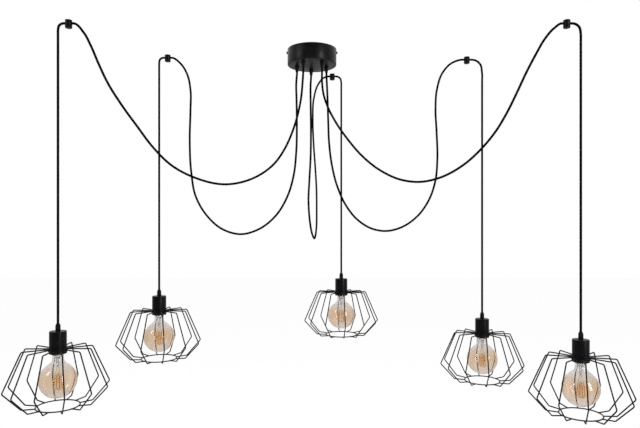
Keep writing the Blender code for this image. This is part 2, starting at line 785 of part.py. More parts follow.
def cage_mesh(helpers):
    """Cage welded from a pierced plate, twelve bent wires and a bottom ring, as one body."""
    corner_radius = CAGE_WIRE_CORNER_SHARE * CAGE_WIRE_DIAMETER / 2
    plate_profile = [
        (NUT_INNER_RADIUS, PLATE_FACE_Z),
        (CAGE_PLATE_RADIUS, PLATE_FACE_Z),
        (CAGE_PLATE_RADIUS, -PLATE_FACE_Z),
        (NUT_INNER_RADIUS, -PLATE_FACE_Z),
    ]
    plate = turned_mesh("cage", plate_profile, CAGE_RING_SEGMENTS, True, helpers)
    ring_points = []
    for index in range(CAGE_RING_SEGMENTS):
        angle = math.tau * (index + 0.5) / CAGE_RING_SEGMENTS
        across = CAGE_RING_RADIUS * math.cos(angle)
        away = CAGE_RING_RADIUS * math.sin(angle)
        ring_points.append((across, away, -CAGE_RING_DROP))
    ring = tube_mesh("cage_ring", ring_points, corner_radius, CAGE_WIRE_SIDES_STEPS, True, helpers)
    wire_points = [
        (CAGE_PLATE_RADIUS - CAGE_PLATE_OVERLAP, 0, 0),
        (CAGE_TOP_RADIUS, 0, 0),
        (CAGE_MIDDLE_RADIUS, 0, -CAGE_MIDDLE_DROP),
        (CAGE_BOTTOM_RADIUS, 0, -CAGE_BOTTOM_DROP),
        (CAGE_RING_RADIUS, 0, -CAGE_RING_DROP),
    ]
    wire = tube_mesh("cage_wire", wire_points, corner_radius, CAGE_WIRE_SIDES_STEPS, False, helpers)
    welds = [(ring, Matrix())]
    for index in range(CAGE_WIRE_COUNT):
        angle = math.tau * index / CAGE_WIRE_COUNT
        welds.append((wire, Matrix.Rotation(angle, 4, "Z")))
    return combined_mesh(plate, welds, "UNION", helpers)


def globe_profile(radius, neck_radius, middle_radius, steps):
    """One face of the bulb's wall, from its neck down to the pole."""
    globe = arc(0, -BULB_CENTRE_DROP, radius, 90 - BULB_SHOULDER_DEG, -90, steps)
    globe[-1] = (0, globe[-1][1])
    return [(neck_radius, -BULB_NECK_TOP_DROP), (middle_radius, -BULB_NECK_MIDDLE_DROP)] + globe


def glass_mesh(helpers):
    """Globe of clear wall thickness, open at its neck."""
    outer = globe_profile(BULB_RADIUS, BULB_NECK_RADIUS, BULB_NECK_MIDDLE_RADIUS, BULB_OUTER_STEPS)
    inner = globe_profile(
        BULB_RADIUS - BULB_WALL,
        BULB_NECK_RADIUS - BULB_WALL,
        BULB_NECK_MIDDLE_RADIUS - BULB_WALL,
        BULB_INNER_STEPS,
    )
    return turned_mesh("bulb_glass", inner[::-1] + outer, BULB_SEGMENTS, False, helpers)


def core_mesh(helpers):
    """Screw cap of the bulb with the stem and the post that carry the filaments."""
    rim = -BULB_NECK_TOP_DROP + GAP
    cap_top = rim + BULB_CAP_HEIGHT
    stem_end = rim - BULB_STEM_LENGTH
    profile = [
        (0, cap_top + BULB_CONTACT_RISE),
        (BULB_CONTACT_RADIUS, cap_top + BULB_CONTACT_RISE),
        (BULB_CAP_RADIUS, cap_top),
        (BULB_CAP_RADIUS, rim),
        (BULB_CAP_RADIUS - BULB_CAP_WALL, rim),
        (BULB_CAP_RADIUS - BULB_CAP_WALL, cap_top - BULB_CAP_ROOF),
        (BULB_STEM_RADIUS, cap_top - BULB_CAP_ROOF),
        (BULB_STEM_RADIUS, stem_end),
        (BULB_POST_RADIUS, stem_end),
        (BULB_POST_RADIUS, stem_end - BULB_POST_LENGTH),
        (0, stem_end - BULB_POST_LENGTH),
    ]
    return turned_mesh("bulb_core", profile, BULB_CORE_SEGMENTS, False, helpers)


def swag_points(number, hook_x, hook_y, side, gland_x, gland_y):
    """Whole path of one swag: up in its gland, along its free route, into its hook's cross hole."""
    under_gland = (gland_x, gland_y, GLAND_TIP_Z)
    mouth_x = hook_x - side * (HOOK_RADIUS + HOOK_MOUTH_RUN)
    mouth = (mouth_x, hook_y, -HOOK_CORD_DROP)
    route = [under_gland, *SWAG_ROUTES[number], mouth]
    free = smooth_path(route, (0, 0, -1), (side, 0, 0))
    inside_gland = Vector((gland_x, gland_y, -CANOPY_HEIGHT))
    inside_hook = Vector((hook_x - side * GAP / 2, hook_y, -HOOK_CORD_DROP))
    return [inside_gland, *free, inside_hook]


def drop_points(hook_x, hook_y, side, offset, drop):
    """Whole path of one drop: out of the hook's cross hole, over a soft bend, down into its grip."""
    mouth_run = HOOK_RADIUS + HOOK_MOUTH_RUN
    reach = offset - mouth_run
    grip_top = -drop + GRIP_TOP_Z
    route = [(hook_x + side * mouth_run, hook_y, -HOOK_CORD_DROP)]
    for across, down in DROP_BEND_SHARES:
        route.append((hook_x + side * (mouth_run + across * reach), hook_y, -HOOK_CORD_DROP - down * reach))
    lamp_x = hook_x + side * offset
    free = smooth_path(route, (side, 0, 0), (0, 0, -1))
    start = Vector((hook_x + side * GAP / 2, hook_y, -HOOK_CORD_DROP))
    end = Vector((lamp_x, hook_y, grip_top - GRIP_CORD_DEPTH))
    plumb = [free[-1].lerp(end, index / DROP_PLUMB_STEPS) for index in range(1, DROP_PLUMB_STEPS)]
    return [start, *free, *plumb, end]


def add_cord(name, points, finish, group, parent, place):
    """Add a cord as a tube curve whose points are given in world coordinates."""
    local = [point - Vector(place) for point in points]
    data = tube_curve(name, local, CORD_RADIUS, CORD_SIDES_STEPS, False)
    data.materials.append(finish)
    cord = bpy.data.objects.new(name, data)
    group.objects.link(cord)
    attach(cord, parent, place)
    return cord


def build_canopy(finishes, group, helpers, frame):
    """Canopy, bracket, screws, terminal block and glands, all fixed to the ceiling."""
    origin = (0, 0, 0)
    add_piece("canopy_cup", canopy_mesh(helpers), finishes["black_paint"], group, frame, origin)
    add_piece("ceiling_bracket", bracket_mesh(helpers), finishes["zinc_steel"], group, frame, origin)
    block_z = -BRACKET_THICKNESS - GAP - TERMINAL_BASE_HEIGHT / 2
    block = terminal_mesh(helpers)
    add_piece("terminal_block", block, finishes["white_plastic"], group, frame, (0, 0, block_z))
    screw = screw_mesh(helpers)
    for name, side in (("side_screw_left", -1), ("side_screw_right", 1)):
        place = (side * CANOPY_RADIUS, 0, -SCREW_DROP)
        item = add_piece(name, screw, finishes["black_paint"], group, frame, place)
        item.rotation_euler = (0, side * math.radians(90), 0)
    gland = gland_mesh(helpers)
    for number, row in hook_layout().items():
        x, y = gland_place(row[3])
        place = (x, y, GLAND_FACE_Z)
        add_piece(f"cord_gland_{number}", gland, finishes["black_plastic"], group, frame, place)


def build_lamps(finishes, group, helpers, frame):
    """Hooks, cords, lampholders, cages and bulbs, each copy from one shared mesh."""
    meshes = {
        "hook_base": (hook_base_mesh(helpers), "black_plastic"),
        "hook_cap": (hook_cap_mesh(helpers), "black_plastic"),
        "cord_grip": (grip_mesh(helpers), "black_plastic"),
        "lampholder": (holder_mesh(helpers), "black_plastic"),
        "ring_nut": (nut_mesh(helpers), "black_plastic"),
        "cage": (cage_mesh(helpers), "black_wire"),
        "bulb_glass": (glass_mesh(helpers), "amber_glass"),
        "bulb_core": (core_mesh(helpers), "nickel_cap"),
    }
    for number, (hook_x, hook_y, side, turn, offset, drop) in hook_layout().items():
        hook = (hook_x, hook_y, 0)
        pivot = (hook_x, hook_y, -HOOK_CORD_DROP)
        axis = (hook_x + side * offset, hook_y, -drop)
        swing = make_empty(f"swing_{number}", group, frame, pivot)
        turning = make_empty(f"turn_{number}", group, swing, axis)
        pulling = make_empty(f"pull_{number}", group, turning, axis)
        holders = {"hook_base": (frame, hook), "hook_cap": (frame, hook)}
        holders.update({name: (turning, axis) for name in ("cord_grip", "lampholder", "ring_nut", "cage")})
        holders.update({name: (pulling, axis) for name in ("bulb_glass", "bulb_core")})
        for name, (parent, place) in holders.items():
            mesh, finish = meshes[name]
            item = add_piece(f"{name}_{number}", mesh, finishes[finish], group, parent, place)
            if name == "cage":
                item.rotation_euler = (0, 0, math.radians(cage_turns()[number]))
        gland_x, gland_y = gland_place(turn)
        swag = swag_points(number, hook_x, hook_y, side, gland_x, gland_y)
        textile = finishes["black_textile"]
        add_cord(f"cord_swag_{number}", swag, textile, group, frame, (0, 0, 0))
        drop_path = drop_points(hook_x, hook_y, side, offset, drop)
        add_cord(f"cord_drop_{number}", drop_path, textile, group, swing, pivot)
        report_cord(number, swag, drop_path)


def report_cord(number, swag, drop_path):
    """Print the length of both stretches of one cord."""
    lengths = []
    for path in (swag, drop_path):
        lengths.append(sum((after - before).length for before, after in zip(path, path[1:])))
    print(f"cord {number}: swag {lengths[0]:.3f} m in {len(swag)} points, drop {lengths[1]:.3f} m")


def build_light():
    """Build the whole light."""
    clear_scene()
    group = make_collection("cluster_pendant_light", True)
    helpers = make_collection("cutters", False)
    finishes = make_finishes()
    frame = make_empty("light_frame", group, None, (0, 0, 0))
    build_canopy(finishes, group, helpers, frame)
    build_lamps(finishes, group, helpers, frame)


build_light()
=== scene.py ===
"""Looks of a cluster pendant light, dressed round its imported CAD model.

The camera and the studio come first, then the cords, the canopy, the ceiling hooks and the lamps.
Sizes are in metres. A piece is shaped round the origin, and its place is then put into its mesh.
"""

from __future__ import annotations

import logging
import math
from dataclasses import dataclass
from enum import Enum

import bmesh
import bpy
from mathutils import Matrix, Vector

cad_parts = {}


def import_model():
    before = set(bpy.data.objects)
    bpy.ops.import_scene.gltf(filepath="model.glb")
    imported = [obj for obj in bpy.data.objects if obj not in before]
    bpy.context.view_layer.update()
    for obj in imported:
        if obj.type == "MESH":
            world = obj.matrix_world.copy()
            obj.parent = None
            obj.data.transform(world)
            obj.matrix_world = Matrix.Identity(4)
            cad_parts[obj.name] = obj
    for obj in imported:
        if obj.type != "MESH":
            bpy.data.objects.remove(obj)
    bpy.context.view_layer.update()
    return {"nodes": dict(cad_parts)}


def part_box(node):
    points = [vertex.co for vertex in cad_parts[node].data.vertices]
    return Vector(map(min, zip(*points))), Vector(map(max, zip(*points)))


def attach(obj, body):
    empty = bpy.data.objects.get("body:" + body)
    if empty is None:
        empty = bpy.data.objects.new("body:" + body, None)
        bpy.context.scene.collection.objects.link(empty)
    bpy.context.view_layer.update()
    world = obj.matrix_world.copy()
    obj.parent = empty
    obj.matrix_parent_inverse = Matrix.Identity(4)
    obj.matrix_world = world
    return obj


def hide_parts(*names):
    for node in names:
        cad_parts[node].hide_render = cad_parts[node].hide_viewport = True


Colour = tuple[float, float, float]
Triple = tuple[float, float, float]
Shares = tuple[tuple[float, float], ...]
Profile = list[tuple[float, float]]
Group = bpy.types.NodeTree
Spots = list["LampSpot"]
Values = dict[str | int, object]
Socket = bpy.types.NodeSocket
Outputs = bpy.types.NodeOutputs
Material = bpy.types.Material
Mesh = bpy.types.Mesh
Shape = bmesh.types.BMesh
Edge = bmesh.types.BMEdge

LOG = logging.getLogger("cluster_pendant")
LAMP_NUMBERS = (1, 2, 3, 4, 5)

# How near two points count as one, and the turn past which an edge stays sharp.
MERGE_DISTANCE = 0.000002
RING_NEARNESS = 0.00002
SHARP_TURN = math.radians(38)
QUARTER_TURN = math.radians(90)

# Sizes that several sub-assemblies share.
GAP = 0.0003
CORD_HOLE_RADIUS = 0.00355
CANOPY_HEIGHT = 0.048
HOOK_RADIUS = 0.009
HOOK_BASE_HEIGHT = 0.0143
HOOK_CORD_DROP = 0.0084
HOLDER_HEIGHT = 0.047

# Share and colours among the Mix node's inputs, and the colour among its outputs.
MIX_INPUTS = (0, 6, 7)
MIX_OUTPUT = 2

NOISE_RANGE = (0.2, 0.8)
BUMP_STRENGTH = 0.6
WHITE = (1.0, 1.0, 1.0)


class Slot(Enum):
    """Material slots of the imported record."""

    BLACK_PAINT = "black_paint"
    ZINC_STEEL = "zinc_steel"
    BLACK_PLASTIC = "black_plastic"
    WHITE_PLASTIC = "white_plastic"
    TEXTILE_CORD = "textile_cord"
    BLACK_WIRE = "black_wire"
    AMBER_GLASS = "amber_glass"
    NICKEL_CAP = "nickel_cap"


class Mark(Enum):
    """Names of the values that a mesh carries for its finish."""

    RUBBED = "rubbed"
    LYING = "lying"
    TINTED = "tinted"


class Carrier(Enum):
    """Kinds of bodies that pieces ride on."""

    ROOT = "root"
    DROP = "drop"
    LAMP = "lamp"
    BULB = "bulb"


class Rounding(Enum):
    """Number of faces across a rounded edge."""

    FINE = 2
    PLAIN = 3
    SOFT = 4
    BROAD = 5
    FULL = 6


# Nodes


class NodeBench:
    """Adds and joins the nodes of one node tree."""

    def __init__(self, tree: Group) -> None:
        """Take the tree of a material, the world or a group."""
        self.tree = tree

    def feed(self, node: bpy.types.Node, values: Values) -> None:
        """Join sockets to a node's inputs, or set the inputs to plain values.

        Args:
            node: The node.
            values: A socket, number, vector or colour for each input, by its name or number.
        """
        for key, value in values.items():
            target = node.inputs[key]
            if isinstance(value, Socket):
                self.tree.links.new(value, target)
            elif target.type == "RGBA":
                target.default_value = (*value, 1.0)
            else:
                target.default_value = value

    def add(self, kind: str, values: Values | None = None, **settings: object) -> bpy.types.Node:
        """Add a node.

        Args:
            kind: The node's type, such as ShaderNodeMath.
            values: What its inputs get.
            settings: Its properties by name.

        Returns:
            The new node.
        """
        node = self.tree.nodes.new(kind)
        for name, value in settings.items():
            setattr(node, name, value)
        self.feed(node, values or {})
        return node

    def maths(
        self, operation: str, first: object, second: object = 0.0, clamp: bool = False
    ) -> Socket:
        """Work out one operation on one or two sockets or numbers."""
        values = {0: first, 1: second}
        return self.add("ShaderNodeMath", values, operation=operation, use_clamp=clamp).outputs[0]

    def noise(
        self, place: Socket, scale: object, detail: float = 2.0, rough: float = 0.5
    ) -> Socket:
        """Read a noise pattern from 0 to 1."""
        values = {"Vector": place, "Scale": scale, "Detail": detail, "Roughness": rough}
        return self.add("ShaderNodeTexNoise", values).outputs[0]

    def spread(
        self, value: object, low: float, high: float, to_low: float = 0.0, to_high: float = 1.0
    ) -> Socket:
        """Map a value from one range to another with soft ends.

        Args:
            value: The value to map.
            low: What becomes to_low.
            high: What becomes to_high.
            to_low: Low end of the result.
            to_high: High end of the result.

        Returns:
            The mapped value.
        """
        values = {"Value": value, "From Min": low, "From Max": high}
        values |= {"To Min": to_low, "To Max": to_high}
        node = self.add("ShaderNodeMapRange", values, interpolation_type="SMOOTHSTEP")
        return node.outputs["Result"]

    def blend(self, share: object, first: object, second: object) -> Socket:
        """Mix two colours by the share of the second one."""
        values = dict(zip(MIX_INPUTS, (share, first, second)))
        return self.add("ShaderNodeMix", values, data_type="RGBA").outputs[MIX_OUTPUT]

    def stretched(self, place: Socket, scale: Triple) -> Socket:
        """Scale a coordinate by its own factor along each axis."""
        return self.add("ShaderNodeMapping", {"Vector": place, "Scale": scale}).outputs["Vector"]

    def mark(self, mark: Mark) -> Socket:
        """Read one of the mesh's own values."""
        return self.add("ShaderNodeAttribute", attribute_name=mark.value).outputs["Fac"]

    def object_place(self) -> Socket:
        """Read the piece's own coordinates."""
        return self.add("ShaderNodeTexCoord").outputs["Object"]


class NodeGroups:
    """The shared shader groups, each built once."""

    cloud_range: tuple[float, float] = (0.3, 0.7)
    rub_contrast: float = 7.0
    dust_range: tuple[float, float] = (0.25, 0.8)
    thin_dust: float = 0.35
    strand_flatness: float = 0.5
    strand_threads: int = 4
    thread_relief: float = 0.07
    thread_shade: float = 0.75
    slow_share: float = 0.05

    def __init__(self) -> None:
        """Build every group."""
        self.grain = self._grain()
        self.rub = self._rub()
        self.dust = self._dust()
        self.braid = self._braid()
        self.drawn = self._drawn()

    @staticmethod
    def _begin(name: str, **numbers: float) -> tuple[NodeBench, Outputs]:
        """Start a group that reads a place and some numbers.

        Args:
            name: The group's name.
            numbers: Default of each number.

        Returns:
            The group's bench, and what it is given by name.
        """
        tree = bpy.data.node_groups.new(name, "ShaderNodeTree")
        add_socket = tree.interface.new_socket
        add_socket(name="Place", in_out="INPUT", socket_type="NodeSocketVector")
        for label, value in numbers.items():
            number = add_socket(name=label, in_out="INPUT", socket_type="NodeSocketFloat")
            number.default_value = value
        bench = NodeBench(tree)
        return bench, bench.add("NodeGroupInput").outputs

    @staticmethod
    def _finish(bench: NodeBench, **results: Socket) -> Group:
        """Name what a group puts out.

        Args:
            bench: The group's bench.
            results: The socket of each output.

        Returns:
            The group.
        """
        add_socket = bench.tree.interface.new_socket
        for label in results:
            add_socket(name=label, in_out="OUTPUT", socket_type="NodeSocketFloat")
        bench.add("NodeGroupOutput", results)
        return bench.tree

    def _grain(self) -> Group:
        """Fine grain of a moulded or coated surface, with slow clouds over it.

        Returns:
            The group.
        """
        bench, given = self._begin("surface_grain", Fine=1500.0, Broad=40.0)
        fine = bench.noise(given["Place"], given["Fine"], detail=3.0, rough=0.55)
        broad = bench.noise(given["Place"], given["Broad"])
        return self._finish(bench, Height=fine, Cloud=bench.spread(broad, *self.cloud_range))

    def _rub(self) -> Group:
        """Where handling has polished or bared an edge, broken up by noise.

        Returns:
            The group.
        """
        bench, given = self._begin("edge_rub", Edge=0.0, Scale=220.0, Amount=0.5)
        patches = bench.noise(given["Place"], given["Scale"], detail=4.0, rough=0.65)
        floor = bench.maths("SUBTRACT", 1.0, given["Amount"])
        over = bench.maths("SUBTRACT", patches, floor)
        bare = bench.maths("MULTIPLY", over, self.rub_contrast, clamp=True)
        return self._finish(bench, Mask=bench.maths("MULTIPLY", bare, given["Edge"], clamp=True))

    def _dust(self) -> Group:
        """A thin veil of dust on what faces up.

        Returns:
            The group.
        """
        bench, given = self._begin("dust_veil", Lying=0.0, Scale=90.0, Amount=0.2)
        clouds = bench.noise(given["Place"], given["Scale"], detail=5.0, rough=0.7)
        veil = bench.spread(clouds, *self.dust_range, to_low=self.thin_dust)
        share = bench.maths("MULTIPLY", veil, given["Lying"])
        return self._finish(bench, Mask=bench.maths("MULTIPLY", share, given["Amount"], clamp=True))

    def _braid(self) -> Group:
        """Two sets of strands that cross over and under each other round a cord, with painted shade
        towards the sides of each strand and between its threads.

        Returns:
            The group.
        """
        bench, given = self._begin("textile_braid", Around=9.0, Along=440.0)
        parts = bench.add("ShaderNodeSeparateXYZ", {0: given["Place"]}).outputs
        around = bench.maths("MULTIPLY", parts[0], given["Around"])
        along = bench.maths("MULTIPLY", parts[1], given["Along"])
        runs = (bench.maths("ADD", around, along), bench.maths("SUBTRACT", around, along))
        cells = bench.maths("ADD", *(bench.maths("FLOOR", run) for run in runs))
        over = bench.maths("PINGPONG", cells, 1.0)
        shown = (over, bench.maths("SUBTRACT", 1.0, over))
        domes = [self._dome(bench, run) for run in runs]
        heights, fibres = [], []
        for run, dome, other, seen in zip(runs, domes, reversed(domes), shown):
            flattened = bench.maths("POWER", other, self.strand_flatness)
            crossed = bench.maths("MULTIPLY", dome, flattened)
            heights.append(bench.maths("MULTIPLY", crossed, seen))
            turns = bench.maths("MULTIPLY", run, self.strand_threads * math.tau)
            fibres.append(bench.maths("MULTIPLY", bench.maths("SINE", turns), seen))
        height, fibre = bench.maths("ADD", *heights), bench.maths("ADD", *fibres)
        relief = bench.maths("ADD", height, bench.maths("MULTIPLY", fibre, self.thread_relief))
        # Painted shade: the strand colour is darkened towards each strand's sides and between its
        # threads.
        shade = bench.spread(fibre, -1.0, 1.0, to_low=self.thread_shade)
        return self._finish(bench, Height=relief, Tone=bench.maths("MULTIPLY", height, shade))

    @staticmethod
    def _dome(bench: NodeBench, run: Socket) -> Socket:
        """Round a strand's section: 0 at its sides and 1 along its middle.

        Args:
            bench: The group's bench.
            run: Count of strands across.

        Returns:
            Height of the section.
        """
        inside = bench.maths("FRACT", run)
        rest = bench.maths("SUBTRACT", 1.0, inside)
        return bench.maths("MULTIPLY", bench.maths("MULTIPLY", inside, rest), 4.0)

    def _drawn(self) -> Group:
        """Fine lines left by rolling or turning metal, along the stretched axis.

        Returns:
            The group.
        """
        bench, given = self._begin("drawn_lines", Scale=900.0)
        lines = bench.noise(given["Place"], given["Scale"], detail=3.0, rough=0.6)
        slow = bench.maths("MULTIPLY", given["Scale"], self.slow_share)
        clouds = bench.spread(bench.noise(given["Place"], slow), *self.cloud_range)
        return self._finish(bench, Height=lines, Cloud=clouds)


class Surface(NodeBench):
    """Bench of one material, with the shader that it feeds."""

    def __init__(self, name: str) -> None:
        """Start a material.

        Args:
            name: The material's name.
        """
        self.material = bpy.data.materials.new(name)
        self.material.use_nodes = True
        super().__init__(self.material.node_tree)

    def use(self, group: Group, **values: object) -> Outputs:
        """Place a shared group with its own values, and give back what it puts out."""
        return self.add("ShaderNodeGroup", values, node_tree=group).outputs

    def rub(self, groups: NodeGroups, place: Socket, amount: float) -> Socket:
        """Mask the rubbed edges."""
        edge = self.mark(Mark.RUBBED)
        return self.use(groups.rub, Place=place, Edge=edge, Amount=amount)["Mask"]

    def dust(self, groups: NodeGroups, place: Socket, amount: float) -> Socket:
        """Mask the dust that lies on what faces up."""
        lying = self.mark(Mark.LYING)
        return self.use(groups.dust, Place=place, Lying=lying, Amount=amount)["Mask"]

    def bump(self, height: Socket, depth: float) -> Socket:
        """Turn a height pattern, whose full range is so many metres deep, into a normal."""
        values = {"Strength": BUMP_STRENGTH, "Distance": depth, "Height": height}
        return self.add("ShaderNodeBump", values).outputs["Normal"]

    def dress(self, values: Values) -> Material:
        """Feed the surface shader and give back the material."""
        self.feed(self.tree.nodes["Principled BSDF"], values)
        return self.material


# Finishes


def brighter(colour: Colour, factor: float) -> Colour:
    """Make a colour brighter by a factor, up to full."""
    red, green, blue = (min(1.0, factor * part) for part in colour)
    return red, green, blue


@dataclass(frozen=True)
class SatinBlack:
    """Powder coat, wire enamel or moulded plastic in black, with rubbed edges and a little dust."""

    name: str
    colour: Colour
    cloud_colour: Colour
    rubbed_colour: Colour
    smooth: float
    rough: float
    fine_scale: float
    grain_depth: float
    specular: float
    cloud_scale: float = 38.0
    cloud_share: float = 0.6
    rub_amount: float = 0.42
    rub_polish: float = 0.12
    dust_amount: float = 0.10
    dust_dulling: float = 0.8
    dust_colour: Colour = (0.12, 0.115, 0.11)

    def material(self, groups: NodeGroups) -> Material:
        """Build the material.

        Args:
            groups: The shared groups.

        Returns:
            The finished material.
        """
        surface = Surface(self.name)
        place = surface.object_place()
        grain = surface.use(groups.grain, Place=place, Fine=self.fine_scale, Broad=self.cloud_scale)
        rub = surface.rub(groups, place, self.rub_amount)
        dust = surface.dust(groups, place, self.dust_amount)
        base = surface.blend(grain["Cloud"], self.colour, self.cloud_colour)
        worn = surface.blend(rub, base, self.rubbed_colour)
        broad = surface.maths("MULTIPLY", grain["Cloud"], self.cloud_share)
        fine = surface.maths("MULTIPLY", grain["Height"], 1.0 - self.cloud_share)
        mottle = surface.maths("ADD", broad, fine)
        gloss = surface.spread(mottle, *NOISE_RANGE, self.smooth, self.rough)
        polished = surface.maths("SUBTRACT", gloss, surface.maths("MULTIPLY", rub, self.rub_polish))
        dulling = surface.maths("MULTIPLY", dust, self.dust_dulling)
        return surface.dress({
            "Base Color": surface.blend(dust, worn, self.dust_colour),
            "Roughness": surface.maths("ADD", polished, dulling, clamp=True),
            "Normal": surface.bump(grain["Height"], self.grain_depth),
            "Specular IOR Level": self.specular,
        })


@dataclass(frozen=True)
class BraidedTextile:
    """Black braided sleeve of the cords, patterned on their own map, round and along them, with
    painted shade in the grooves between strands and threads.
    """

    name: str
    strand_colour: Colour
    # Painted shade colour for the grooves between strands.
    groove_shade_colour: Colour
    around: float
    along: float
    depth: float
    fibre_scale: float = 900.0
    fade_scale: float = 25.0
    fading: float = 1.4
    smooth: float = 0.78
    rough: float = 0.94
    specular: float = 0.05

    def material(self, groups: NodeGroups) -> Material:
        """Build the material.

        Args:
            groups: The shared groups.

        Returns:
            The finished material.
        """
        surface = Surface(self.name)
        sleeve, place = surface.add("ShaderNodeTexCoord").outputs["UV"], surface.object_place()
        braid = surface.use(groups.braid, Place=sleeve, Around=self.around, Along=self.along)
        fade = surface.use(groups.grain, Place=place, Fine=self.fibre_scale, Broad=self.fade_scale)
        pale_colour = brighter(self.strand_colour, self.fading)
        faded = surface.blend(fade["Cloud"], self.strand_colour, pale_colour)
        return surface.dress({
            # Painted shade: the darker groove colour fills the braid's grooves between strands.
            "Base Color": surface.blend(braid["Tone"], self.groove_shade_colour, faded),
            "Roughness": surface.spread(fade["Height"], *NOISE_RANGE, self.smooth, self.rough),
            "Normal": surface.bump(braid["Height"], self.depth),
            "Specular IOR Level": self.specular,
        })


@dataclass(frozen=True)
class TintedGlass:
    """Blown glass, tinted by the mesh's own mark and deeper where it is seen aslant."""

    name: str
    clear_colour: Colour
    tint_colour: Colour
    deep_colour: Colour
    stretch: Triple = (1.0, 1.0, 0.4)
    fine_scale: float = 14.0
    cloud_scale: float = 26.0
    slant_blend: float = 0.5
    slant_range: tuple[float, float] = (0.08, 0.6)
    slant_depth: float = 0.9
    ripple_depth: float = 0.0002
    bending: float = 1.5
    specular: float = 0.9

    def material(self, groups: NodeGroups) -> Material:
        """Build the material.

        Args:
            groups: The shared groups.

        Returns:
            The finished material.
        """
        surface = Surface(self.name)
        streaks = surface.stretched(surface.object_place(), self.stretch)
        scales = {"Fine": self.fine_scale, "Broad": self.cloud_scale}
        grain = surface.use(groups.grain, Place=streaks, **scales)
        slant = surface.add("ShaderNodeLayerWeight", {"Blend": self.slant_blend}).outputs["Facing"]
        thick = surface.spread(slant, *self.slant_range, to_high=self.slant_depth)
        depth = surface.maths("MAXIMUM", thick, grain["Cloud"])
        tint = surface.blend(depth, self.tint_colour, self.deep_colour)
        return surface.dress({
            "Base Color": surface.blend(surface.mark(Mark.TINTED), self.clear_colour, tint),
            "Normal": surface.bump(grain["Height"], self.ripple_depth),
            "Roughness": 0.0,
            "IOR": self.bending,
            "Specular IOR Level": self.specular,
            "Transmission Weight": 1.0,
        })


@dataclass(frozen=True)
class BareMetal:
    """Plated or plain metal with drawn lines and dulled patches."""

    name: str
    colour: Colour
    dull_colour: Colour
    smooth: float
    rough: float
    stretch: Triple = (1.0, 1.0, 1.0)
    scale: float = 900.0
    line_depth: float = 0.00003
    rub_amount: float = 0.6
    rub_shine: float = 1.2

    def material(self, groups: NodeGroups) -> Material:
        """Build the material.

        Args:
            groups: The shared groups.

        Returns:
            The finished material.
        """
        surface = Surface(self.name)
        place = surface.object_place()
        lines = surface.stretched(place, self.stretch)
        drawn = surface.use(groups.drawn, Place=lines, Scale=self.scale)
        rub = surface.rub(groups, place, self.rub_amount)
        base = surface.blend(drawn["Cloud"], self.colour, self.dull_colour)
        return surface.dress({
            "Base Color": surface.blend(rub, base, brighter(self.colour, self.rub_shine)),
            "Roughness": surface.spread(drawn["Cloud"], 0.0, 1.0, self.smooth, self.rough),
            "Normal": surface.bump(drawn["Height"], self.line_depth),
            "Metallic": 1.0,
        })


@dataclass(frozen=True)
class PaleMoulding:
    """Pale moulded plastic, ceramic or phosphor with a soft mottle."""

    name: str
    colour: Colour
    shade_colour: Colour
    rough: float
    cloud_scale: float = 120.0
    fine_scale: float = 1400.0
    grain_depth: float = 0.00004
    rough_swing: float = 0.06
    dust_amount: float = 0.15
    dust_colour: Colour = (0.4, 0.38, 0.35)
    clear: float = 0.0
    bending: float = 1.5

    def material(self, groups: NodeGroups) -> Material:
        """Build the material.

        Args:
            groups: The shared groups.

        Returns:
            The finished material.
        """
        surface = Surface(self.name)
        place = surface.object_place()
        grain = surface.use(groups.grain, Place=place, Fine=self.fine_scale, Broad=self.cloud_scale)
        dust = surface.dust(groups, place, self.dust_amount)
        base = surface.blend(grain["Cloud"], self.colour, self.shade_colour)
        low, high = self.rough - self.rough_swing, self.rough + self.rough_swing
        return surface.dress({
            "Base Color": surface.blend(dust, base, self.dust_colour),
            "Roughness": surface.spread(grain["Height"], *NOISE_RANGE, low, high),
            "Normal": surface.bump(grain["Height"], self.grain_depth),
            "Transmission Weight": self.clear,
            "IOR": self.bending,
        })


POWDER_COAT = SatinBlack(
    name="satin_powder_coat",
    colour=(0.0050, 0.0050, 0.0056),
    cloud_colour=(0.0068, 0.0068, 0.0075),
    rubbed_colour=(0.028, 0.028, 0.029),
    smooth=0.30,
    rough=0.42,
    fine_scale=2600.0,
    grain_depth=0.00005,
    specular=0.22,
)
BLACK_MOULDING = SatinBlack(
    name="black_moulding",
    colour=(0.0036, 0.0035, 0.0040),
    cloud_colour=(0.0050, 0.0049, 0.0055),
    rubbed_colour=(0.016, 0.016, 0.017),
    smooth=0.28,
    rough=0.40,
    fine_scale=3800.0,
    grain_depth=0.00003,
    specular=0.17,
)
WIRE_ENAMEL = SatinBlack(
    name="black_wire_enamel",
    colour=(0.0036, 0.0036, 0.0040),
    cloud_colour=(0.0055, 0.0055, 0.0058),
    rubbed_colour=(0.018, 0.018, 0.018),
    smooth=0.34,
    rough=0.48,
    fine_scale=3000.0,
    grain_depth=0.00004,
    specular=0.22,
    dust_amount=0.06,
)
TEXTILE = BraidedTextile(
    name="black_textile_braid",
    strand_colour=(0.0042, 0.0042, 0.0048),
    # Painted shade colour of the braid's grooves.
    groove_shade_colour=(0.0016, 0.0016, 0.0018),
    around=9.0,
    along=440.0,
    depth=0.00012,
)
AMBER_GLASS = TintedGlass(
    name="amber_blown_glass",
    clear_colour=(0.81, 0.80, 0.795),
    tint_colour=(0.868, 0.775, 0.675),
    deep_colour=(0.76, 0.62, 0.48),
)
STEM_GLASS = TintedGlass(
    name="clear_stem_glass",
    clear_colour=(0.88, 0.88, 0.87),
    tint_colour=(0.88, 0.88, 0.87),
    deep_colour=(0.84, 0.85, 0.84),
)
NICKEL = BareMetal("nickel_shell", (0.62, 0.60, 0.56), (0.48, 0.46, 0.43), smooth=0.18, rough=0.34)
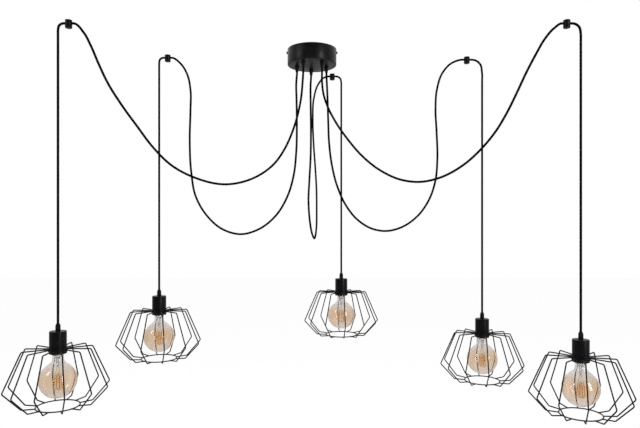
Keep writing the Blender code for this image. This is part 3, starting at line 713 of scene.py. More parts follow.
ZINC = BareMetal(
    name="zinc_strap",
    colour=(0.55, 0.56, 0.57),
    dull_colour=(0.42, 0.43, 0.45),
    smooth=0.28,
    rough=0.45,
    stretch=(0.06, 1.0, 1.0),
)
POLYAMIDE = PaleMoulding("white_polyamide", (0.75, 0.75, 0.72), (0.66, 0.66, 0.62), rough=0.48)
PHOSPHOR = PaleMoulding(
    name="phosphor_strip",
    colour=(0.99, 0.74, 0.44),
    shade_colour=(0.97, 0.66, 0.35),
    rough=0.3,
    cloud_scale=300.0,
    clear=0.8,
    bending=1.08,
)


@dataclass(frozen=True)
class Coat:
    """A finished material and the record's slot that it fills."""

    material: Material
    slot: Slot


class Finishes:
    """Every coat of the light, each built once."""

    def __init__(self) -> None:
        """Build the groups and the materials."""
        groups = NodeGroups()
        self.paint = Coat(POWDER_COAT.material(groups), Slot.BLACK_PAINT)
        self.plastic = Coat(BLACK_MOULDING.material(groups), Slot.BLACK_PLASTIC)
        self.wire = Coat(WIRE_ENAMEL.material(groups), Slot.BLACK_WIRE)
        self.textile = Coat(TEXTILE.material(groups), Slot.TEXTILE_CORD)
        self.amber = Coat(AMBER_GLASS.material(groups), Slot.AMBER_GLASS)
        self.clear = Coat(STEM_GLASS.material(groups), Slot.AMBER_GLASS)
        self.nickel = Coat(NICKEL.material(groups), Slot.NICKEL_CAP)
        self.zinc = Coat(ZINC.material(groups), Slot.ZINC_STEEL)
        self.white = Coat(POLYAMIDE.material(groups), Slot.WHITE_PLASTIC)
        self.phosphor = Coat(PHOSPHOR.material(groups), Slot.WHITE_PLASTIC)


# Mesh tools


def spin_round(
    shape: Shape, geom: list[object], steps: int, angle: float = math.tau, **how: bool
) -> None:
    """Spin some geometry about Z, into a skin or with use_duplicate into copies."""
    about_z = {"cent": (0, 0, 0), "axis": (0, 0, 1), "dvec": (0, 0, 0)}
    bmesh.ops.spin(shape, geom=geom, angle=angle, steps=steps, **about_z, **how)


def turn_section(shape: Shape, section: list[object], sides: int) -> None:
    """Spin a section once round Z and close its skin.

    Args:
        shape: The bmesh that holds the section.
        section: Its vertices and edges.
        sides: Number of steps of the spin.
    """
    spin_round(shape, section, sides, use_merge=True)
    bmesh.ops.remove_doubles(shape, verts=shape.verts[:], dist=MERGE_DISTANCE)
    bmesh.ops.dissolve_degenerate(shape, edges=shape.edges[:], dist=MERGE_DISTANCE)
    bmesh.ops.recalc_face_normals(shape, faces=shape.faces[:])


def turned(outline: Profile, sides: int, rims: tuple[Rim, ...] = (), closed: bool = False) -> Shape:
    """Turn an outline in the X-Z plane once round Z, and round some of its rims.

    Args:
        outline: Radius and height of each point.
        sides: Number of steps of the turn.
        rims: The rims to round.
        closed: Whether the last point joins the first.

    Returns:
        The turned shape.
    """
    shape = bmesh.new()
    spots = [shape.verts.new((across, 0.0, up)) for across, up in outline]
    pairs = list(zip(spots, spots[1:]))
    if closed:
        pairs.append((spots[-1], spots[0]))
    turn_section(shape, spots + [shape.edges.new(pair) for pair in pairs], sides)
    for rim in rims:
        rim.round_off(shape)
    return shape


def scaled(unit: float, height: float, shares: Shares) -> Profile:
    """Scale rows of shares into outline points, counted up from a height."""
    return [(unit * across, height + unit * up) for across, up in shares]


def face_layer(shape: Shape, mark: Mark) -> bmesh.types.BMLayerItem:
    """Get a shape's layer of one face value, made if it isn't there."""
    layers = shape.faces.layers.float
    return layers.get(mark.value) or layers.new(mark.value)


def round_edges(shape: Shape, edges: list[Edge], width: float, rounding: Rounding) -> None:
    """Round some edges and mark the new faces as rubbed.

    Args:
        shape: The shape, which has its layer of rubbed faces.
        edges: Its edges to round.
        width: How far each edge is rounded.
        rounding: How finely.
    """
    made = bmesh.ops.bevel(
        shape,
        geom=edges,
        offset=width,
        offset_type="OFFSET",
        affect="EDGES",
        segments=rounding.value,
        profile=0.5,
        material=-1,
    )
    rubbed = face_layer(shape, Mark.RUBBED)
    for face in made["faces"]:
        face[rubbed] = 1.0


@dataclass(frozen=True)
class Rim:
    """A ring of a turned shape that is rounded."""

    radius: float
    height: float
    width: float
    rounding: Rounding = Rounding.PLAIN

    def meets(self, vert: bmesh.types.BMVert) -> bool:
        """Whether a vertex lies on the ring."""
        off = max(abs(vert.co.xy.length - self.radius), abs(vert.co.z - self.height))
        return off < RING_NEARNESS

    def round_off(self, shape: Shape) -> None:
        """Round the ring.

        Args:
            shape: The turned shape.
        """
        face_layer(shape, Mark.RUBBED)
        edges = [edge for edge in shape.edges if all(self.meets(vert) for vert in edge.verts)]
        if not edges:
            raise ValueError(f"no ring at radius {self.radius} and height {self.height}")
        round_edges(shape, edges, self.width, self.rounding)


def is_crease(edge: Edge) -> bool:
    """Whether an edge turns sharply enough to be seen as one."""
    return len(edge.link_faces) == 2 and edge.calc_face_angle(0.0) > SHARP_TURN


def loose_mesh(shape: Shape, name: str) -> Mesh:
    """Turn a bmesh into a plain mesh and free it.

    Args:
        shape: The bmesh.
        name: The mesh's name.

    Returns:
        The mesh.
    """
    mesh = bpy.data.meshes.new(name)
    shape.to_mesh(mesh)
    shape.free()
    return mesh


def mesh_of(shape: Shape, name: str) -> Mesh:
    """Turn a bmesh into a mesh with smooth faces, sharp creases and its dust mark, and free it.

    Args:
        shape: The bmesh.
        name: The mesh's name.

    Returns:
        The mesh.
    """
    lying = face_layer(shape, Mark.LYING)
    shape.normal_update()
    for face in shape.faces:
        face.smooth = True
        face[lying] = max(0.0, face.normal.z) ** 2
    for edge in shape.edges:
        edge.smooth = not is_crease(edge)
    return loose_mesh(shape, name)


def block(size: Triple) -> Shape:
    """Make a box round the origin.

    Args:
        size: Its whole lengths.

    Returns:
        The box.
    """
    shape = bmesh.new()
    bmesh.ops.create_cube(shape, size=1.0)
    bmesh.ops.scale(shape, verts=shape.verts, vec=size)
    return shape


def join_shape(base: Shape, other: Shape) -> None:
    """Add one bmesh to another and free it.

    Args:
        base: The bmesh that grows.
        other: The bmesh that it takes in.
    """
    mesh = loose_mesh(other, "joined")
    base.from_mesh(mesh)
    bpy.data.meshes.remove(mesh)


def spread_round(shape: Shape, count: int) -> None:
    """Repeat a whole shape evenly round Z, so many times in all."""
    geom = shape.verts[:] + shape.edges[:] + shape.faces[:]
    spin_round(shape, geom, count - 1, math.tau * (count - 1) / count, use_duplicate=True)


def stand(name: str, data: bpy.types.ID) -> bpy.types.Object:
    """Put a mesh, lamp or camera into the scene.

    Args:
        name: The object's name.
        data: What it shows.

    Returns:
        The new object.
    """
    made = bpy.data.objects.new(name, data)
    bpy.context.scene.collection.objects.link(made)
    return made


def carve(mesh: Mesh, cutter: Mesh) -> Mesh:
    """Cut one closed mesh out of another.

    Args:
        mesh: The mesh to cut.
        cutter: What is cut out.

    Returns:
        The cut mesh.
    """
    base, tool = stand(mesh.name, mesh), stand(cutter.name, cutter)
    step = base.modifiers.new("cut", "BOOLEAN")
    step.operation = "DIFFERENCE"
    step.solver = "EXACT"
    step.object = tool
    bpy.context.view_layer.update()
    cut = bpy.data.meshes.new_from_object(base.evaluated_get(bpy.context.evaluated_depsgraph_get()))
    for item in (base, tool):
        bpy.data.objects.remove(item)
    return cut


class BentRod:
    """A round rod that grows from its end by straight pushes and bends, in the X-Z plane."""

    def __init__(self, radius: float, sides: int, start: Vector, way: Vector) -> None:
        """Draw the first circle.

        Args:
            radius: The rod's radius.
            sides: Its number of sides.
            start: Middle of its first end.
            way: Direction in which it sets out.
        """
        self.shape = bmesh.new()
        self.place = start.copy()
        self.way = way.normalized()
        turn = self.way.to_track_quat("Z", "Y").to_matrix().to_4x4()
        bmesh.ops.create_circle(
            self.shape,
            cap_ends=True,
            segments=sides,
            radius=radius,
            matrix=Matrix.Translation(start) @ turn,
        )
        self.rim = self.shape.edges[:]

    def push(self, length: float) -> None:
        """Grow straight on.

        Args:
            length: How far.
        """
        made = bmesh.ops.extrude_edge_only(self.shape, edges=self.rim)
        verts = [item for item in made["geom"] if isinstance(item, bmesh.types.BMVert)]
        edges = [item for item in made["geom"] if isinstance(item, Edge)]
        bmesh.ops.translate(self.shape, verts=verts, vec=self.way * length)
        self.place += self.way * length
        self.rim = [edge for edge in edges if all(vert in verts for vert in edge.verts)]

    def bend(self, way: Vector, radius: float, steps: int) -> None:
        """Bend towards a new direction.

        Args:
            way: The direction after the bend.
            radius: Bend radius at the rod's middle.
            steps: Number of steps round the bend.
        """
        way = way.normalized()
        axis = self.way.cross(way).normalized()
        centre = self.place + axis.cross(self.way) * radius
        angle = self.way.angle(way)
        verts = list(dict.fromkeys(vert for edge in self.rim for vert in edge.verts))
        made = bmesh.ops.spin(
            self.shape,
            geom=self.rim + verts,
            cent=centre,
            axis=axis,
            dvec=(0, 0, 0),
            angle=angle,
            steps=steps,
        )
        self.place = centre + Matrix.Rotation(angle, 3, axis) @ (self.place - centre)
        self.way = way
        self.rim = [item for item in made["geom_last"] if isinstance(item, Edge)]

    def close(self) -> Shape:
        """Cap the last end.

        Returns:
            The finished rod.
        """
        bmesh.ops.contextual_create(self.shape, geom=self.rim)
        bmesh.ops.recalc_face_normals(self.shape, faces=self.shape.faces[:])
        return self.shape


# Places and pieces


def node_middle(node: str) -> Vector:
    """Find the middle of a CAD node's box."""
    low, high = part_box(node)
    return (low + high) / 2


@dataclass
class LampSpot:
    """Where one lamp and its hook are."""

    number: int
    hook: Vector
    axis: Vector

    @staticmethod
    def read(number: int) -> LampSpot:
        """Find a lamp's hook and its hanging axis in the frame.

        Args:
            number: The lamp's number.

        Returns:
            The spot, whose axis point is level with the cage's spokes.
        """
        axis = node_middle(f"lampholder_{number}")
        axis.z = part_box(f"lampholder_{number}")[1].z - HOLDER_HEIGHT
        hook = node_middle(f"hook_base_{number}")
        hook.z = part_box(f"hook_base_{number}")[0].z + HOOK_BASE_HEIGHT
        return LampSpot(number, hook, axis)

    @property
    def side(self) -> float:
        """1 where the lamp hangs to the right of its hook, otherwise -1."""
        return 1.0 if self.axis.x > self.hook.x else -1.0

    def body(self, carrier: Carrier) -> str:
        """Name the body of one kind at this spot."""
        return carrier.value if carrier is Carrier.ROOT else f"{carrier.value}_{self.number}"


def add_piece(
    name: str, mesh: Mesh, place: Vector, coat: Coat, body: str, *nodes: str
) -> bpy.types.Object:
    """Put a copy of a mesh in its place as a piece of the light.

    Args:
        name: The piece's name.
        mesh: Its mesh round the origin.
        place: Where the origin goes.
        coat: Its finish.
        body: The body that it rides on.
        nodes: The CAD nodes that it stands for.

    Returns:
        The new object.
    """
    own = mesh.copy()
    own.name = name
    own.transform(Matrix.Translation(place))
    own.materials.clear()
    own.materials.append(coat.material)
    piece = stand(name, own)
    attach(piece, body)
    if nodes:
        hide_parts(*nodes)
    LOG.info("%s rides on %s: %d faces", name, body, len(own.polygons))
    return piece


@dataclass(frozen=True)
class LampPiece:
    """A mesh that every lamp has, its coat, and the kind of CAD node that it stands for."""

    name: str
    mesh: Mesh
    coat: Coat
    node: str = ""


def add_at(spots: Spots, carrier: Carrier, pieces: list[LampPiece]) -> None:
    """Add the same pieces at several spots.

    Args:
        spots: The lamps' places.
        carrier: The bodies that the pieces ride on. On the root they belong to the hook.
        pieces: What each lamp gets.
    """
    for spot in spots:
        place = spot.hook if carrier is Carrier.ROOT else spot.axis
        for piece in pieces:
            nodes = (f"{piece.node}_{spot.number}",) if piece.node else ()
            name = f"{piece.name}_{spot.number}"
            add_piece(name, piece.mesh, place, piece.coat, spot.body(carrier), *nodes)


# Studio


@dataclass(frozen=True)
class Softbox:
    """One soft rectangular lamp."""

    name: str
    place: Triple
    width: float
    height: float
    power: float

    def hang(self, aim: Vector) -> None:
        """Hang the lamp in its place.

        Args:
            aim: The point that it faces.
        """
        data = bpy.data.lights.new(self.name, "AREA")
        data.shape = "RECTANGLE"
        data.size = self.width
        data.size_y = self.height
        data.energy = self.power
        lamp = stand(self.name, data)
        lamp.location = self.place
        lamp.rotation_euler = (aim - lamp.location).to_track_quat("-Z", "Y").to_euler()


@dataclass
class Studio:
    """Camera, lamps, floor and white surroundings of the photograph."""

    camera_place: Triple = (0.0246, -1.721, -0.553)
    lens_mm: float = 31.5
    sensor_mm: float = 36.0
    shift_up: float = 0.025
    clip_end: float = 60.0
    floor_drop: float = 2.4
    floor_size: float = 40.0
    floor_colour: Colour = (0.82, 0.82, 0.82)
    floor_rough: float = 0.9
    floor_glow: float = 0.57
    sky_strength: float = 0.50
    mirror_turn: tuple[float, float] = (-0.6, 0.8)
    mirror_front: float = 0.05
    mirror_back: float = 0.9
    lamp_aim: Triple = (0.0, 0.0, -0.7)
    lamps: tuple[Softbox, ...] = (
        Softbox("key_softbox", (2.4, -2.5, 0.1), width=0.8, height=2.4, power=44.0),
        Softbox("fill_softbox", (-2.6, -1.4, 1.0), width=0.6, height=1.2, power=14.0),
    )

    def set_camera(self) -> None:
        """Stand the camera level before the light, looking along +Y."""
        data = bpy.data.cameras.new("photo_camera")
        data.lens = self.lens_mm
        data.sensor_width = self.sensor_mm
        data.shift_y = self.shift_up
        data.clip_end = self.clip_end
        camera = stand("photo_camera", data)
        camera.location = self.camera_place
        camera.rotation_euler = (QUARTER_TURN, 0, 0)
        bpy.context.scene.camera = camera

    @staticmethod
    def _seen(bench: NodeBench, *kinds: str) -> Socket:
        """Mask some kinds of rays.

        Args:
            bench: The tree's bench.
            kinds: Outputs of the Light Path node.

        Returns:
            1 for a ray of any of the kinds, otherwise 0.
        """
        rays = bench.add("ShaderNodeLightPath").outputs
        seen = rays[kinds[0]]
        for kind in kinds[1:]:
            seen = bench.maths("MAXIMUM", seen, rays[kind])
        return seen

    @staticmethod
    def _white_sky(bench: NodeBench, strength: object) -> Socket:
        """Add a plain white background of some strength."""
        return bench.add("ShaderNodeBackground", {"Color": WHITE, "Strength": strength}).outputs[0]

    @staticmethod
    def _either(bench: NodeBench, mask: Socket, outside: Socket, inside: Socket) -> Socket:
        """Choose the second shader where the mask is 1, and the first elsewhere."""
        return bench.add("ShaderNodeMixShader", {0: mask, 1: outside, 2: inside}).outputs[0]

    def set_world(self) -> None:
        """White to the camera and through glass, softer as light, dark ahead for reflections."""
        world = bpy.data.worlds.new("white_studio")
        bpy.context.scene.world = world
        world.use_nodes = True
        world.node_tree.nodes.clear()
        bench = NodeBench(world.node_tree)
        direction = bench.add("ShaderNodeTexCoord").outputs["Generated"]
        ahead = bench.add("ShaderNodeSeparateXYZ", {0: direction}).outputs[1]
        mirrored = bench.spread(ahead, *self.mirror_turn, self.mirror_front, self.mirror_back)
        plain, dim = self._white_sky(bench, self.sky_strength), self._white_sky(bench, mirrored)
        lit = self._either(bench, self._seen(bench, "Is Glossy Ray"), plain, dim)
        shown = self._seen(bench, "Is Camera Ray", "Is Transmission Ray")
        whole = self._either(bench, shown, lit, self._white_sky(bench, 1.0))
        bench.add("ShaderNodeOutputWorld", {"Surface": whole})

    def lay_floor(self) -> None:
        """A plain pale floor well below the lamps, white to the camera where no shadow falls."""
        shape = bmesh.new()
        bmesh.ops.create_grid(shape, x_segments=1, y_segments=1, size=self.floor_size / 2)
        mesh = loose_mesh(shape, "studio_floor")
        mesh.transform(Matrix.Translation((0, 0, -self.floor_drop)))
        surface = Surface("pale_floor")
        shown = self._seen(surface, "Is Camera Ray", "Is Transmission Ray")
        material = surface.dress({
            "Base Color": self.floor_colour,
            "Roughness": self.floor_rough,
            "Specular IOR Level": 0.0,
            "Emission Color": WHITE,
            "Emission Strength": surface.maths("MULTIPLY", shown, self.floor_glow),
        })
        mesh.materials.append(material)
        stand("studio_floor", mesh)

    def build(self) -> None:
        """Set up the whole studio."""
        self.set_camera()
        self.set_world()
        self.lay_floor()
        for lamp in self.lamps:
            lamp.hang(Vector(self.lamp_aim))
        bpy.context.scene.view_settings.view_transform = "Standard"


# Cords

# The points that each swag passes through below the ceiling, in whole millimetres.
SWAG_ROUTES_MM: dict[int, tuple[tuple[int, int, int], ...]] = {
    1: (
        (-28, -42, -115), (-32, -43, -157), (-43, -47, -212), (-58, -52, -261), (-79, -59, -310),
        (-111, -69, -358), (-168, -88, -401), (-248, -115, -422), (-327, -142, -406),
        (-390, -162, -372), (-434, -177, -327), (-477, -191, -267), (-515, -204, -211),
        (-546, -215, -158), (-568, -224, -107), (-585, -233, -62), (-600, -241, -31),
    ),
    2: (
        (-49, 12, -101), (-48, 12, -151), (-47, 12, -228), (-49, 12, -312), (-57, 13, -384),
        (-76, 14, -448), (-114, 18, -510), (-165, 23, -550), (-222, 28, -566), (-282, 34, -550),
        (-334, 39, -504), (-367, 42, -446), (-381, 43, -370), (-386, 44, -269), (-384, 45, -179),
        (-384, 46, -112), (-395, 48, -61), (-418, 50, -25),
    ),
    3: (
        (-5, 48, -92), (-5, 48, -155), (-4, 48, -237), (-5, 49, -319), (-9, 52, -395),
        (-12, 58, -458), (-9, 72, -515), (-3, 100, -558), (6, 151, -581), (12, 207, -548),
        (13, 243, -480), (12, 255, -405), (8, 260, -335), (2, 263, -248), (-1, 264, -160),
        (3, 265, -85), (18, 265, -37), (37, 265, -14),
    ),
    4: (
        (46, 18, -100), (48, 18, -145), (50, 19, -211), (53, 19, -284), (61, 20, -348),
        (76, 22, -410), (103, 25, -472), (143, 29, -522), (188, 35, -549), (235, 40, -556),
        (280, 45, -545), (333, 51, -509), (371, 56, -456), (391, 59, -398), (398, 61, -326),
        (396, 63, -240), (393, 65, -168), (398, 67, -104), (416, 69, -51), (446, 70, -19),
    ),
    5: (
        (31, -37, -112), (35, -38, -144), (48, -42, -184), (75, -51, -237), (108, -62, -286),
        (149, -75, -336), (202, -93, -381), (256, -110, -408), (311, -128, -416), (364, -144, -405),
        (426, -165, -370), (471, -180, -327), (505, -191, -283), (534, -201, -231),
        (557, -210, -180), (579, -220, -128), (600, -230, -84), (620, -238, -47), (643, -244, -20),
    ),
}


@dataclass
class CordSet:
    """The five textile cords, each as a swag to its hook and a drop to its lamp."""

    diameter: float = 0.0065
    sides: int = 20
    step: float = 0.004
    plumb_step: float = 0.016
    gland_tip: float = 0.0643
    mouth_run: float = 0.0035
    grip_top: float = 0.0663
    grip_depth: float = 0.016
    bend_shares: Shares = ((0.50, 0.10), (0.86, 0.45), (0.985, 1.05), (1.0, 2.0))

    @staticmethod
    def _directions(route: list[Vector], start_way: Vector, end_way: Vector) -> list[Vector]:
        """Work out the direction of a smooth curve at each point of its route.

        Args:
            route: The points that the curve passes through.
            start_way: Direction at its start.
            end_way: Direction at its end.

        Returns:
            One direction for each point.
        """
        ways = [start_way]
        for before, point, after in zip(route, route[1:], route[2:]):
            back, ahead = point - before, after - point
            total = back.length + ahead.length
            early, late = ahead.length / back.length, back.length / ahead.length
            ways.append((back * early + ahead * late) / total)
        return [*ways, end_way]

    def smooth(self, route: list[Vector], start_way: Vector, end_way: Vector) -> list[Vector]:
        """Read close points off a smooth curve through a route.

        Args:
            route: The points that the curve passes through.
            start_way: Direction at its start.
            end_way: Direction at its end.

        Returns:
            Points about a step apart.
        """
        ways = self._directions(route, start_way, end_way)
        points = []
        for start, end, way, next_way in zip(route, route[1:], ways, ways[1:]):
            span = (end - start).length
            count = max(2, round(span / self.step))
            for sample in range(count):
                t = sample / count
                point = start * (2 * t**3 - 3 * t**2 + 1) + end * (3 * t**2 - 2 * t**3)
                point += way * (span * (t**3 - 2 * t**2 + t)) + next_way * (span * (t**3 - t**2))
                points.append(point)
        return [*points, route[-1]]

    @staticmethod
    def _from_hook(spot: LampSpot, across: float, down: float = 0.0) -> Vector:
        """Find a point so far from a hook's hole towards the lamp, and so far below it."""
        return Vector((spot.hook.x + spot.side * across, spot.hook.y, -HOOK_CORD_DROP - down))

    def swag_path(self, spot: LampSpot) -> list[Vector]:
        """Find the path from inside the gland to the middle of the hook.

        Args:
            spot: The lamp's places.

        Returns:
            Close points along it.
        """
        gland = node_middle(f"cord_gland_{spot.number}")
        tip = Vector((gland.x, gland.y, -self.gland_tip))
        mouth = self._from_hook(spot, -HOOK_RADIUS - self.mouth_run)
        points = [Vector(part / 1000 for part in point) for point in SWAG_ROUTES_MM[spot.number]]
        free = self.smooth([tip, *points, mouth], Vector((0, 0, -1)), Vector((spot.side, 0, 0)))
        start = Vector((gland.x, gland.y, -CANOPY_HEIGHT))
        return [start, *free, self._from_hook(spot, -GAP / 2)]

    def drop_path(self, spot: LampSpot) -> list[Vector]:
        """Find the path from the middle of the hook, over a soft bend, down into the cord grip.

        Args:
            spot: The lamp's places.

        Returns:
            Close points along it.
        """
        run = HOOK_RADIUS + self.mouth_run
        reach = abs(spot.axis.x - spot.hook.x) - run
        route = [self._from_hook(spot, run)]
        for across, down in self.bend_shares:
            route.append(self._from_hook(spot, run + across * reach, down * reach))
        free = self.smooth(route, Vector((spot.side, 0, 0)), Vector((0, 0, -1)))
        end = Vector((spot.axis.x, spot.hook.y, spot.axis.z + self.grip_top - self.grip_depth))
        count = max(2, round((free[-1] - end).length / self.plumb_step))
        plumb = [free[-1].lerp(end, index / count) for index in range(1, count + 1)]
        return [self._from_hook(spot, GAP / 2), *free, *plumb]

    def sleeve(self, name: str, path: list[Vector]) -> Mesh:
        """Push a circle along a path, with its map running round and along it.

        Args:
            name: The mesh's name.
            path: Close points of its centreline.

        Returns:
            The closed mesh.
        """
        shape = bmesh.new()
        mapping = shape.loops.layers.uv.new("UVMap")
        way = (path[1] - path[0]).normalized()
        across = way.orthogonal().normalized()
        rings: list[list[bmesh.types.BMVert]] = []
        runs = [0.0]
        for index, point in enumerate(path):
            before, after = path[max(index - 1, 0)], path[min(index + 1, len(path) - 1)]
            new_way = (after - before).normalized()
            across = way.rotation_difference(new_way) @ across
            across = (across - new_way * across.dot(new_way)).normalized()
            way = new_way
            turn = Matrix((across, way.cross(across), way)).transposed().to_4x4()
            made = bmesh.ops.create_circle(
                shape,
                segments=self.sides,
                radius=self.diameter / 2,
                matrix=Matrix.Translation(point) @ turn,
            )
            rings.append(made["verts"])
            runs.append(runs[-1] + (after - point).length)
        for index, (ring, following) in enumerate(zip(rings, rings[1:])):
            for side in range(self.sides):
                near, far = side, (side + 1) % self.sides
                face = shape.faces.new((ring[near], ring[far], following[far], following[near]))
                spots = ((side, index), (side + 1, index), (side + 1, index + 1), (side, index + 1))
                for loop, (step, station) in zip(face.loops, spots):
                    loop[mapping].uv = (step / self.sides, runs[station])
        shape.faces.new(rings[0])
        shape.faces.new(rings[-1])
        bmesh.ops.recalc_face_normals(shape, faces=shape.faces[:])
        return mesh_of(shape, name)

    def lay(self, stretch: str, path: list[Vector], body: str, coat: Coat) -> None:
        """Args:
            stretch: Which stretch it is, such as swag_1.
            path: Its centreline, which leaves its gland or hook at the second point.
            body: The body that it rides on.
            coat: The textile.
        """
        name = f"textile_{stretch}"
        piece = add_piece(name, self.sleeve(name, path), Vector(), coat, body, f"cord_{stretch}")

    def build(self, spots: Spots, finishes: Finishes) -> None:
        """Lay all ten stretches.

        Args:
            spots: The lamps' places.
            finishes: The coats.
        """
        for spot in spots:
            number, textile = spot.number, finishes.textile
            self.lay(f"swag_{number}", self.swag_path(spot), spot.body(Carrier.ROOT), textile)
            self.lay(f"drop_{number}", self.drop_path(spot), spot.body(Carrier.DROP), textile)


# Canopy


@dataclass
class CordGland:
    """Moulded gland in the canopy's underside, level with the flange's top at its origin."""

    stub_radius: float = 0.005
    stub_rise: float = 0.007
    flange_radius: float = 0.007
    flange: float = 0.002
    edge_round: float = 0.0004
    cone: float = 0.014
    cone_set_back: float = 0.0008
    tip_radius: float = 0.0044
    groove: float = 0.0012
    groove_depth: float = 0.0004
    groove_lip: float = 0.25
    groove_shares: tuple[float, ...] = (0.25, 0.45, 0.65)
    sides: int = 40

    def mesh(self) -> Mesh:
        """Turn the stub, the flange and the grooved cone in one piece.

        Returns:
            The mesh.
        """
        foot = -self.flange - self.cone
        cone_top = self.flange_radius - self.cone_set_back
        slope = (cone_top - self.tip_radius) / self.cone
        outline = [(CORD_HOLE_RADIUS, self.stub_rise), (self.stub_radius, self.stub_rise)]
        outline += [(self.stub_radius, 0.0), (self.flange_radius, 0.0)]
        outline += [(self.flange_radius, -self.flange), (cone_top, -self.flange)]
        for share in self.groove_shares:
            depth = self.cone * share
            wide, up = cone_top - slope * depth, -self.flange - depth
            outline.append((wide, up))
            for lip in (self.groove_lip, 1.0 - self.groove_lip):
                outline.append((wide - self.groove_depth, up - self.groove * lip))
            outline.append((wide - slope * self.groove, up - self.groove))
        outline += [(self.tip_radius, foot), (CORD_HOLE_RADIUS, foot)]
        rims = (
            Rim(self.flange_radius, 0.0, self.edge_round),
            Rim(self.flange_radius, -self.flange, self.edge_round),
            Rim(self.tip_radius, foot, self.edge_round),
        )
        return mesh_of(turned(outline, self.sides, rims, closed=True), "gland")


@dataclass
class SideScrew:
    """Slotted screw that holds the cup, pointing along Z."""

    radius: float = 0.004
    head: float = 0.0038
    head_edge: float = 0.0028
    dome_shares: Shares = ((0.4, 0.04), (0.72, 0.18), (0.92, 0.47))
    shank_radius: float = 0.0019
    shank: float = 0.0065
    slot: Triple = (0.0009, 0.01, 0.0026)
    sides: int = 40

    def mesh(self) -> Mesh:
        """Turn the screw and cut its slot.

        Returns:
            The mesh.
        """
        outline = [(0.0, self.head)]
        for across, down in self.dome_shares:
            outline.append((self.radius * across, self.head * (1 - down)))
        outline += [(self.radius, self.head - self.head_edge), (self.radius, GAP)]
        outline += [(self.shank_radius, GAP), (self.shank_radius, -self.shank), (0.0, -self.shank)]
        screw = mesh_of(turned(outline, self.sides), "side_screw")
        cutter = loose_mesh(block(self.slot), "driving_slot")
        cutter.transform(Matrix.Translation((0, 0, self.head)))
        return carve(screw, cutter)


@dataclass
class Canopy:
    """The ceiling cup with its screws, glands and what it covers."""

    radius: float = 0.075
    height: float = CANOPY_HEIGHT
    wall: float = 0.0012
    corner: float = 0.003
    rim_round: float = 0.0004
    screw_drop: float = 0.0085
    sides: int = 128

    def cup_mesh(self) -> Mesh:
        """Turn the drawn steel cup, with a rounded foot and a fine rim.

        Returns:
            The mesh.
        """
        inner = self.radius - self.wall
        floor = self.wall - self.height
        outline = [(0.0, floor), (inner, floor), (inner, 0.0)]
        outline += [(self.radius, 0.0), (self.radius, -self.height), (0.0, -self.height)]
        rims = (
            Rim(self.radius, -self.height, self.corner, Rounding.FULL),
            Rim(inner, floor, self.corner - self.wall, Rounding.SOFT),
            Rim(self.radius, 0.0, self.rim_round, Rounding.FINE),
            Rim(inner, 0.0, self.rim_round, Rounding.FINE),
        )
        return mesh_of(turned(outline, self.sides, rims), "canopy_shell")

    def build(self, finishes: Finishes, nodes: dict[str, bpy.types.Object]) -> None:
        """Add every piece of the canopy, and dress the CAD nodes that stay.

        Args:
            finishes: The coats.
            nodes: The CAD nodes by name.
        """
        root = Carrier.ROOT.value
        add_piece("canopy_shell", self.cup_mesh(), Vector(), finishes.paint, root, "canopy_cup")
        gland = CordGland().mesh()
        for number in LAMP_NUMBERS:
            node = f"cord_gland_{number}"
            place = node_middle(node)
            place.z = -self.height - GAP
            add_piece(f"gland_{number}", gland, place, finishes.plastic, root, node)
        screw = SideScrew().mesh()
        for name, side in (("left", -1.0), ("right", 1.0)):
            lying = screw.copy()
            lying.transform(Matrix.Rotation(side * QUARTER_TURN, 4, "Y"))
            place = Vector((side * self.radius, 0, -self.screw_drop))
            label, node = f"slotted_screw_{name}", f"side_screw_{name}"
            add_piece(label, lying, place, finishes.paint, root, node)
        for node, coat in (("ceiling_bracket", finishes.zinc), ("terminal_block", finishes.white)):
            for index in range(len(nodes[node].data.materials)):
                nodes[node].data.materials[index] = coat.material


# Ceiling hooks


